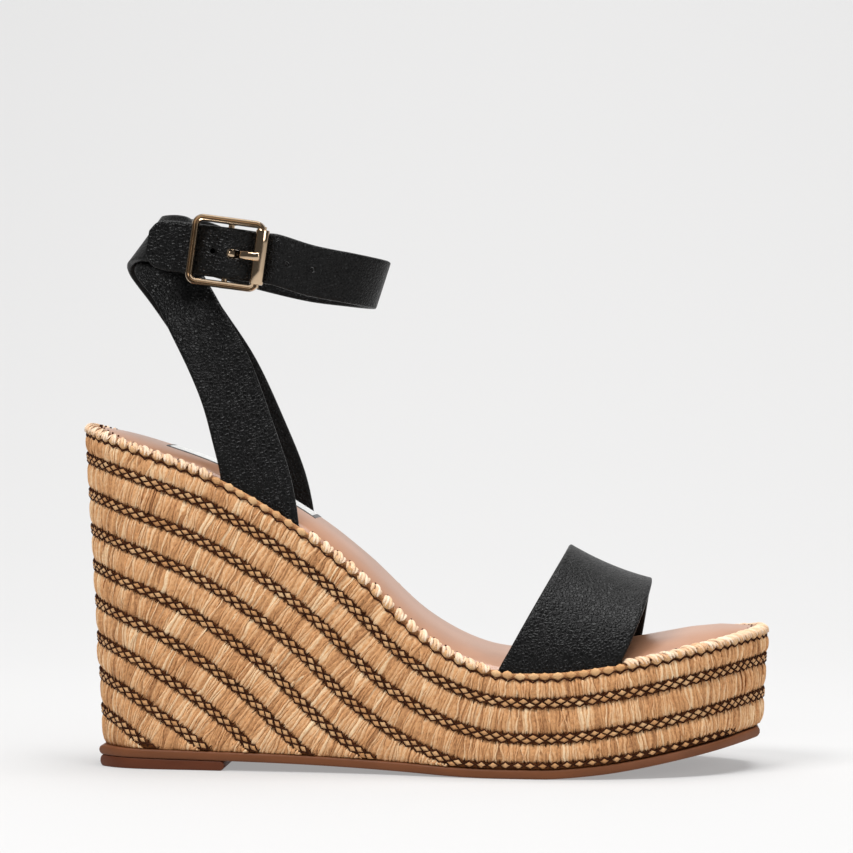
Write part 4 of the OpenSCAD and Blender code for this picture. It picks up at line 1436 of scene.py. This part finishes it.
@dataclass
class Straps:
    """The toe band and the two ankle straps."""

    strap_half: float = 8.25
    strap_thick: float = 1.97
    buckle_place: tuple = (-63.0, -30.0, 167.7)
    dip: float = 8.0
    turn: float = 4.0
    bar_reach: float = 11.1
    roller_r: float = 2.2
    frame_bar: float = 2.3
    over_rise: float = 0.75
    bar_depth: float = 3.5
    bar_r: float = 1.0
    hole_r: float = 0.9
    hole_step: float = 8.56
    hole_drop: float = 1.56
    under_roller: float = 0.55
    under_bar: float = 0.95

    def buckle_point(self, u: float, rise: float, h: float = 0.0) -> np.ndarray:
        """A point u along the strap, rise outwards and h up, from the buckle's middle."""
        dip, turn = math.radians(self.dip), math.radians(self.turn)
        a = u * math.cos(dip) + h * math.sin(dip)
        return np.array(self.buckle_place) + np.array([
            a * math.cos(turn) - rise * math.sin(turn),
            -a * math.sin(turn) - rise * math.cos(turn),
            -u * math.sin(dip) + h * math.cos(dip)])

    def buckle_axes(self) -> tuple:
        """Along the strap, out of the buckle, and up along its bars."""
        o = self.buckle_point(0, 0)
        return (self.buckle_point(1, 0) - o, self.buckle_point(0, 1) - o,
                self.buckle_point(0, 0, 1) - o)

    def weave(self, u: float) -> float:
        """Rise of the long strap's face as it goes over the centre bar."""
        low = (-self.roller_r - self.under_roller if u > 0
               else -self.frame_bar / 2 - self.under_bar)
        return ((self.over_rise + low) / 2
                + (self.over_rise - low) / 2 * math.cos(math.pi * u / self.bar_reach))

    def buckle_rung(self, u: float, rise: float, half: float = 8.25,
                    tilt: float = 8.0) -> np.ndarray:
        """A rung in the buckle."""
        return rung(self.buckle_point(u, rise), tilt, half)

    def fold_rung(self, r: float, angle: float, along: float, tilt: float, half: float,
                  side: int) -> np.ndarray:
        """A rung where a strap turns round behind the ankle."""
        lean, a = math.radians(36), math.radians(angle)
        f = np.array([math.sin(lean), 0, math.cos(lean)])
        e = np.array([math.cos(lean), 0, -math.sin(lean)])
        c = (np.array([-83.3, 0, 167.4]) + f * along - e * r * math.sin(a)
             + np.array([0, side * r * math.cos(a), 0]))
        return rung(c, tilt, half)

    def toe_band(self) -> None:
        """The band over the toes."""
        outer, inner = np.array([43.8, -41.9, 34]), np.array([51.5, 36.2, 34.2])
        top = np.array([61.1, 0, 67.4])

        def at(phi: float) -> np.ndarray:
            """A rung of the arch."""
            s = math.sin(math.radians(phi)) ** 0.9
            base = outer if phi < 90 else inner
            sign = math.copysign(1, base[1])
            c = np.array([base[0] + (top[0] - base[0]) * s,
                          base[1] * abs(math.cos(math.radians(phi))),
                          base[2] + (top[2] - base[2]) * s])
            half = 19 + (14.7 - 19) * s
            tilt = 89 + (112.6 - 89) * s
            return rung(c, tilt, half, 0, (0, sign * 0.9 * (1 - s), -1.2 * s))

        rungs = [rung(outer + [-0.4, 0.2, -4.9], 87.4, 19, 0, (0, -0.9, 0))]
        rungs += [at(180 * k / 20) for k in range(21)]
        rungs += [rung(inner + [-0.4, -0.2, -4.5], 84.3, 19, 0, (0, 0.9, 0))]
        bm = Ribbon(rungs, 1, self.strap_thick, 5, 30).mesh()
        dress(new_object("toe_band", bm), [Finish.STRAP, Finish.PAINT, Finish.BACKING],
              stands_for=["vamp_strap_outer", "vamp_strap_lining"])

    def long_rungs(self) -> list:
        """Rungs of the long strap from the outer edge to its tip."""
        r, h, f = rung, self.strap_half, self.fold_rung
        low = -self.roller_r - self.under_roller
        end = -self.frame_bar / 2 - self.under_bar
        reach = self.bar_reach
        return [
            r([-54, -27.9, 82.6], 121.5, 15, -2.5), r([-52.4, -28.9, 87.4], 121.5, 15.1, -3),
            r([-55.1, -28.2, 101.3], 113, 13.9, -3), r([-60, -26.3, 116.6], 101, 11.6, -3),
            r([-66.3, -23.6, 132.1], 79, 10.3, -4), r([-74.2, -19.3, 146.2], 69, 9.8, -8),
            r([-81.6, -13.2, 158.3], 58, 9.4, -10), f(9.3, 35, -3, 47, 9.2, -1),
            f(9.3, 90, 0, 37, 9.2, -1), f(9.3, 135, 3.2, 33, 9.1, -1),
            r([-78.5, 11.2, 172.8], 24, 8.8), r([-68, 17.8, 169.4], 14, 8.4),
            r([-54, 22.8, 165.4], 11, h), r([-39, 23.3, 162], 11, h),
            r([-24, 16.5, 159.8], 14, h), r([-16.6, 8, 158.6], 17, h),
            r([-14.3, 0, 158.3], 18, h), r([-16.6, -8.5, 158.7], 17, h),
            r([-24, -17.5, 160], 14, h), r([-36, -24, 162.2], 11, h),
            self.buckle_rung(16.5, low + 0.1, h, 9),
            *[self.buckle_rung(reach * k / 2, self.weave(reach * k / 2))
              for k in (2, 1, 0, -1, -2)],
            self.buckle_rung(-15.5, end - 0.5), self.buckle_rung(-20.5, end - 0.9, 8.1),
            self.buckle_rung(-24.6, end - 1.2, 7.1), self.buckle_rung(-26.9, end - 1.4, 4.2)]

    def punch(self, u: float, r: float) -> bmesh.types.BMesh:
        """A cutter for one hole in the strap where it lies in the buckle."""
        x, out, up = self.buckle_axes()
        return drill(frame_matrix(self.buckle_point(u, 0), x, up, out, (r, r, 12)))

    def slot_cutter(self, low: float, high: float, width: float, depth: float) -> bmesh.types.BMesh:
        """A cutter for a slot along the strap."""
        x, out, up = self.buckle_axes()
        bm = bmesh.new()
        bmesh.ops.create_cube(bm, size=1)
        place = frame_matrix(self.buckle_point((low + high) / 2, 0), x, up, out,
                             (high - low, width, depth))
        bmesh.ops.transform(bm, matrix=place, verts=bm.verts)
        ends = [e for e in bm.edges
                if abs((e.verts[0].co - e.verts[1].co).normalized().dot(Vector(out))) > 0.9]
        bmesh.ops.bevel(bm, geom=ends, offset=width * 0.45 * MM, affect="EDGES", segments=4,
                        profile=0.5, material=-1)
        return bm

    def long_strap(self) -> None:
        """The long strap, with its holes."""
        bm = Ribbon(self.long_rungs(), 1, self.strap_thick, 6, 20).mesh()
        piece = new_object("long_strap", bm)
        cutters = [self.punch(-4.5, self.hole_r), self.slot_cutter(0.4, 6.1, 3.6, 12)]
        for k in (1, 2):
            a = math.radians(8 * k)
            out = np.array([math.sin(a), -math.cos(a), 0])
            x = np.array([math.cos(a), math.sin(a), 0])
            at = [-52.3 + k * self.hole_step, -26, 165.6 - k * self.hole_drop]
            cutters.append(drill(frame_matrix(at, x, [0, 0, 1], out,
                                              (self.hole_r, self.hole_r, 10))))
        tool = join(cutters)
        bmesh.ops.recalc_face_normals(tool, faces=tool.faces)
        cut(piece, tool)
        dress(piece, [Finish.STRAP, Finish.PAINT, Finish.BACKING],
              stands_for=["long_strap_outer", "long_strap_lining"])

    def under(self, u: float) -> float:
        """Rise of the short strap's face under the long one."""
        return self.weave(u) - self.strap_thick - 0.3

    def short_strap(self) -> None:
        """The short strap and its end, turned back round the centre bar."""
        h, f, b = self.strap_half, self.fold_rung, self.buckle_rung
        rungs = [
            rung([-54, 26.15, 82.6], 121.5, 15, 1), rung([-52.4, 26.2, 87.4], 121.5, 15.1, 1),
            rung([-55.5, 26, 101.3], 113, 13.9, 1.5), rung([-61.3, 24.6, 116.6], 101, 11.6, 2),
            rung([-69, 22.2, 132.3], 79, 10.2, 3), rung([-77.8, 18.6, 146], 68, 9.8, 6),
            rung([-86, 14.6, 158], 57, 9.4, 8), f(13, 50, -4.6, 47, 9.2, 1),
            f(12.4, 90, -1, 37, 9.2, 1), f(12.4, 135, 2, 33, 9, 1),
            rung([-81.5, -16.6, 172.6], 22, 8.7), b(-13.5, self.under(-11.1) - 0.5, 8.3, 10),
            b(-11.1, self.under(-11.1), h), b(-8, self.under(-8), h), b(-5, self.under(-5), h)]
        thick = [self.strap_thick] * (len(rungs) - 1) + [1.5]
        loop_r = self.bar_r + 0.98
        for angle in (90, 50, 10, -30, -70):
            a = math.radians(angle)
            rungs.append(b(loop_r * math.cos(a), -self.bar_depth + loop_r * math.sin(a), h - 0.1))
            thick.append(0.8)
        for u in (-2.6, -5, -9, -13):
            rise = self.under(max(u, -self.bar_reach)) - 2 * self.strap_thick + 0.65
            rungs.append(b(u, rise - (0.4 if u > -3 else 0), h - 0.1))
            thick.append(0.8)
        bm = Ribbon([r[::-1] for r in rungs], 1, self.strap_thick, 6, 20, 0.45, thick).mesh()
        piece = new_object("short_strap", bm)
        cut(piece, self.slot_cutter(-2.9, 4.5, 3.9, 16))
        dress(piece, [Finish.STRAP, Finish.PAINT, Finish.BACKING],
              stands_for=["short_strap_outer", "short_strap_lining"])

    def build(self) -> None:
        """Builds the three straps."""
        self.toe_band()
        self.long_strap()
        self.short_strap()


# ---------------------------------------------------------------- buckle

@dataclass
class Buckle:
    """The gold frame, its bars, the roller and the tongue."""

    straps: Straps
    length: float = 24.5
    height: float = 23.0
    corner: float = 3.6
    bar: float = 2.3
    depth: float = 2.8
    roller_half: float = 8.9
    bar_r: float = 1.0
    tongue_half: float = 1.5
    pin_root: float = 0.45
    pin_thick: float = 0.62
    roller_bore: float = 1.16

    def points(self, u: np.ndarray, rise: np.ndarray, h: np.ndarray) -> np.ndarray:
        """Places from lengths along, out of and up the buckle."""
        s = self.straps
        x, out, up = s.buckle_axes()
        o = s.buckle_point(0, 0)
        return (o + np.asarray(u)[..., None] * x + np.asarray(rise)[..., None] * out
                + np.asarray(h)[..., None] * up)

    def ring_path(self) -> tuple:
        """The frame's middle line and outward directions, from one roller end to the other."""
        a, b, r = (self.length - self.bar) / 2, (self.height - self.bar) / 2, self.corner - 1.15
        pts: list = []

        def corner(cx: float, cy: float, start: float) -> None:
            """Adds a rounded corner."""
            for k in range(9):
                t = math.radians(start + 90 * k / 8)
                if abs(t - math.pi) > math.pi - 0.3:
                    continue
                pts.append((cx + r * math.cos(t), cy + r * math.sin(t), math.cos(t), math.sin(t)))

        corner(a - r, b - r, 0)
        for k in range(1, 6):
            pts.append((a - r - (2 * (a - r)) * k / 6, b, 0, 1))
        corner(-a + r, b - r, 90)
        for k in range(1, 6):
            pts.append((-a, b - r - (2 * (b - r)) * k / 6, -1, 0))
        corner(-a + r, -b + r, 180)
        for k in range(1, 6):
            pts.append((-a + r + (2 * (a - r)) * k / 6, -b, 0, -1))
        corner(a - r, -b + r, 270)
        arr = np.array(pts)
        return arr[:, :2], arr[:, 2:]

    def frame(self) -> None:
        """The frame's ring with its two ridges, the bars and the lugs."""
        mid, out = self.ring_path()
        half, deep = self.bar / 2, self.depth / 2
        profile = np.array([
            (1.0, -0.75), (1.0, 0.35), (0.93, 0.75), (0.72, 1.0), (0.45, 0.98), (0.25, 0.66),
            (0.05, 0.55), (-0.2, 0.62), (-0.45, 0.86), (-0.7, 0.9), (-0.92, 0.7), (-1.0, 0.35),
            (-1.0, -0.75), (-0.8, -1.0), (0.8, -1.0)])

        def place(i: np.ndarray, j: np.ndarray) -> np.ndarray:
            """Surface points of the ring."""
            p = profile[j % len(profile)]
            spot = mid[i] + out[i] * (p[:, :1] * half)
            return self.points(spot[:, 0], p[:, 1] * deep, spot[:, 1])

        parts = [bent_grid(len(mid) - 1, len(profile), place)]
        a = (self.length - self.bar) / 2
        parts.append(self.rod(a, 0.0, self.roller_half + 1.0, 1.1))
        s = self.straps
        parts.append(self.rod(0.0, -s.bar_depth, self.height / 2 - self.bar + 0.9, self.bar_r))
        for sign in (-1, 1):
            lug = bmesh.new()
            bmesh.ops.create_cube(lug, size=1)
            x, o, up = s.buckle_axes()
            c = self.points(np.array(0.0), np.array(-s.bar_depth / 2 - 0.4),
                            np.array(sign * (self.height / 2 - self.bar / 2)))
            place_lug = frame_matrix(c, x, up, o, (3.0, self.bar, s.bar_depth + 2.0))
            bmesh.ops.transform(lug, matrix=place_lug, verts=lug.verts)
            bmesh.ops.bevel(lug, geom=lug.edges[:], offset=0.45 * MM, affect="EDGES", segments=3,
                            profile=0.5, material=-1)
            parts.append(lug)
        piece = new_object("buckle_ring", join(parts))
        piece.data.set_sharp_from_angle(angle=math.radians(50))
        dress(piece, [Finish.GOLD], BODY_BUCKLE, ["buckle_frame"])

    def rod(self, u: float, rise: float, half: float, r: float) -> bmesh.types.BMesh:
        """A round bar with softened ends, along the buckle's bars."""
        bm = bmesh.new()
        bmesh.ops.create_cone(bm, segments=28, radius1=1, radius2=1, depth=2, cap_ends=True)
        x, out, up = self.straps.buckle_axes()
        centre = self.points(np.array(u), np.array(rise), np.array(0.0))
        bmesh.ops.transform(bm, matrix=frame_matrix(centre, x, out, up, (r, r, half)),
                            verts=bm.verts)
        return bm

    def fitted(self, ring: bmesh.types.BMesh, u: float, rise: float) -> bmesh.types.BMesh:
        """Puts a turned ring on the bar that is at u and rise."""
        x, out, up = self.straps.buckle_axes()
        centre = self.points(np.array(u), np.array(rise), np.array(0.0))
        place = frame_matrix(centre, x, out, up) @ Matrix.Scale(1 / MM, 4)
        bmesh.ops.transform(ring, matrix=place, verts=ring.verts)
        bmesh.ops.recalc_face_normals(ring, faces=ring.faces)
        return ring

    def roller(self) -> None:
        """The roller: a tube with rounded rims, a touch fuller at its middle."""
        a = (self.length - self.bar) / 2
        r, hole, h = self.straps.roller_r, self.roller_bore, self.roller_half
        profile = [(hole, -h), (r - 0.45, -h), (r - 0.12, -h + 0.12), (r, -h + 0.45),
                   (r + 0.04, -h * 0.5), (r + 0.05, 0.0), (r + 0.04, h * 0.5), (r, h - 0.45),
                   (r - 0.12, h - 0.12), (r - 0.45, h), (hole, h)]
        piece = new_object("buckle_roller_tube", self.fitted(turned(profile, 40), a, 0.0))
        piece.data.set_sharp_from_angle(angle=math.radians(50))
        dress(piece, [Finish.GOLD], BODY_ROLLER, ["buckle_roller"])

    def tongue(self) -> None:
        """The tongue: a ring round the centre bar and a softly curved pin."""
        s = self.straps
        reach = s.bar_reach - 0.6
        tip_rise = s.roller_r + 0.7
        line = np.array([(0.6, -s.bar_depth + 1.35), (2.9, -2.4), (4.6, 0.2), (6.5, 1.65),
                         (8.6, 2.5), (reach, tip_rise + 0.12), (reach + 1.2, tip_rise - 0.1)])
        steps, sides = 40, 12

        def place(i: np.ndarray, j: np.ndarray) -> np.ndarray:
            """Surface points of the pin."""
            last = len(line) - 1
            t = i / steps * last
            p = through(line, np.minimum(t, last - TINY))
            d = heading(line, t)
            n = np.stack([-d[:, 1], d[:, 0]], -1)
            a = j / sides * 2 * math.pi
            tip = np.sqrt(np.clip((steps - i) / 3.0, 0.05, 1))
            wide = self.tongue_half * (1 - 0.16 * i / steps) * tip
            c, q = np.cos(a), np.sin(a)
            up = wide * np.sign(c) * np.abs(c) ** 0.6
            thick = np.interp(i / steps, [0, 0.4], [self.pin_root, self.pin_thick]) * tip
            off = thick * np.sign(q) * np.abs(q) ** 0.75
            return self.points(p[:, 0] + n[:, 0] * off, p[:, 1] + n[:, 1] * off, up)

        parts = [bent_grid(steps, sides, place)]
        inner, outer, h = self.bar_r + 0.06, self.bar_r + 0.95, self.tongue_half
        profile = [(inner, -h), (outer - 0.3, -h), (outer, -h + 0.3), (outer, h - 0.3),
                   (outer - 0.3, h), (inner, h)]
        parts.append(self.fitted(turned(profile, 28), 0.0, -s.bar_depth))
        piece = new_object("buckle_pin", join(parts))
        piece.data.set_sharp_from_angle(angle=math.radians(55))
        dress(piece, [Finish.GOLD], BODY_TONGUE, ["buckle_tongue"])

    def build(self) -> None:
        """Builds the frame, the roller and the tongue."""
        self.frame()
        self.roller()
        self.tongue()


# ---------------------------------------------------------------- inside and studio

def dress_inside() -> None:
    """Gives the hidden CAD pieces their finishes."""
    for node, finish in (("wedge_core", Finish.CORK), ("insole_board", Finish.BOARD),
                         ("shank", Finish.STEEL), ("heel_nails", Finish.STEEL),
                         ("shank_rivets", Finish.RIVET)):
        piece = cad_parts[node]
        piece.data.materials.clear()
        piece.data.materials.append(finish.material())
        LOG.info("%s: kept, new finish", node)


@dataclass
class Studio:
    """The pale floor, the soft lights and the camera."""

    distance: float = 1.0
    azimuth: float = 3.4
    aim: tuple = (0.0005, 0.00277, 0.1117)
    lens: float = 127.46
    paper: tuple = (0.345, 0.343, 0.342)
    glow: float = 0.32
    sky: float = 0.09
    lights: tuple = (("key", (-0.8, -0.95, 1.55), 0.8, 28, (0, 0, 0.09)),
                     ("top", (0.25, -0.1, 1.7), 1.0, 26, (0, 0, 0.09)),
                     ("fill", (1.3, -1.3, 0.7), 1.0, 12, (0, 0, 0.09)),
                     ("wall", (0.0, 0.9, 2.4), 1.6, 30, (0.0, 2.2, 0.9)))

    def floor(self) -> None:
        """A sheet of paper that curves up behind."""
        bm = bmesh.new()
        reach, back, bend, top = 4.0, 0.45, 1.6, 3.4
        line = [(-2.5, 0.0), (back, 0.0)]
        line += [(back + bend * math.sin(a), bend * (1 - math.cos(a)))
                 for a in np.linspace(0.1, math.pi / 2, 14)]
        line.append((back + bend, top))
        verts = [bm.verts.new((-reach, y, z)) for y, z in line]
        edges = [bm.edges.new((verts[k], verts[k + 1])) for k in range(len(verts) - 1)]
        made = bmesh.ops.extrude_edge_only(bm, edges=edges)
        moved = [g for g in made["geom"] if isinstance(g, bmesh.types.BMVert)]
        bmesh.ops.translate(bm, vec=(2 * reach, 0, 0), verts=moved)
        bmesh.ops.recalc_face_normals(bm, faces=bm.faces)
        sheet = new_object("studio_paper", bm)
        b = Bench("studio_paper")
        b.set(Base_Color=(*self.paper, 1), Roughness=0.9, Specular_IOR_Level=0.1,
              Emission_Color=(1, 1, 1, 1), Emission_Strength=self.glow)
        sheet.data.materials.append(b.material)

    def light(self, name: str, at: Sequence[float], size: float, power: float,
              aim: Sequence[float]) -> None:
        """One soft square light that points at a place."""
        data = bpy.data.lights.new(name, "AREA")
        data.shape, data.size, data.energy = "SQUARE", size, power
        lamp = bpy.data.objects.new(name, data)
        lamp.location = at
        toward = Vector(aim) - Vector(at)
        lamp.rotation_mode = "QUATERNION"
        lamp.rotation_quaternion = toward.to_track_quat("-Z", "Y")
        bpy.context.scene.collection.objects.link(lamp)

    def build(self) -> None:
        """Sets up the floor, lights, world and camera."""
        scene = bpy.context.scene
        self.floor()
        for lamp in self.lights:
            self.light(*lamp)
        world = bpy.data.worlds.new("studio")
        world.use_nodes = True
        world.node_tree.nodes["Background"].inputs["Color"].default_value = (1, 1, 1, 1)
        world.node_tree.nodes["Background"].inputs["Strength"].default_value = self.sky
        scene.world = world
        scene.view_settings.view_transform = "Standard"
        scene.view_settings.look = "None"
        data = bpy.data.cameras.new("camera")
        data.sensor_width, data.lens = 36.0, self.lens
        data.clip_start, data.clip_end = 0.05, 20
        camera = bpy.data.objects.new("camera", data)
        a = math.radians(self.azimuth)
        back = Vector((math.sin(a), -math.cos(a), 0))
        camera.location = Vector(self.aim) + back * self.distance
        camera.rotation_mode = "QUATERNION"
        camera.rotation_quaternion = (-back).to_track_quat("-Z", "Y")
        scene.collection.objects.link(camera)
        scene.camera = camera


def main() -> None:
    """Builds the sandal from the sole up, then the studio."""
    logging.basicConfig(level=logging.INFO, format="%(message)s")
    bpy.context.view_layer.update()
    dress_inside()
    Sole().build()
    RaffiaWrap().build()
    EdgeTrim().build()
    Sock().build()
    straps = Straps()
    straps.build()
    Buckle(straps).build()
    Studio().build()


if __name__ == "__main__":
    main()
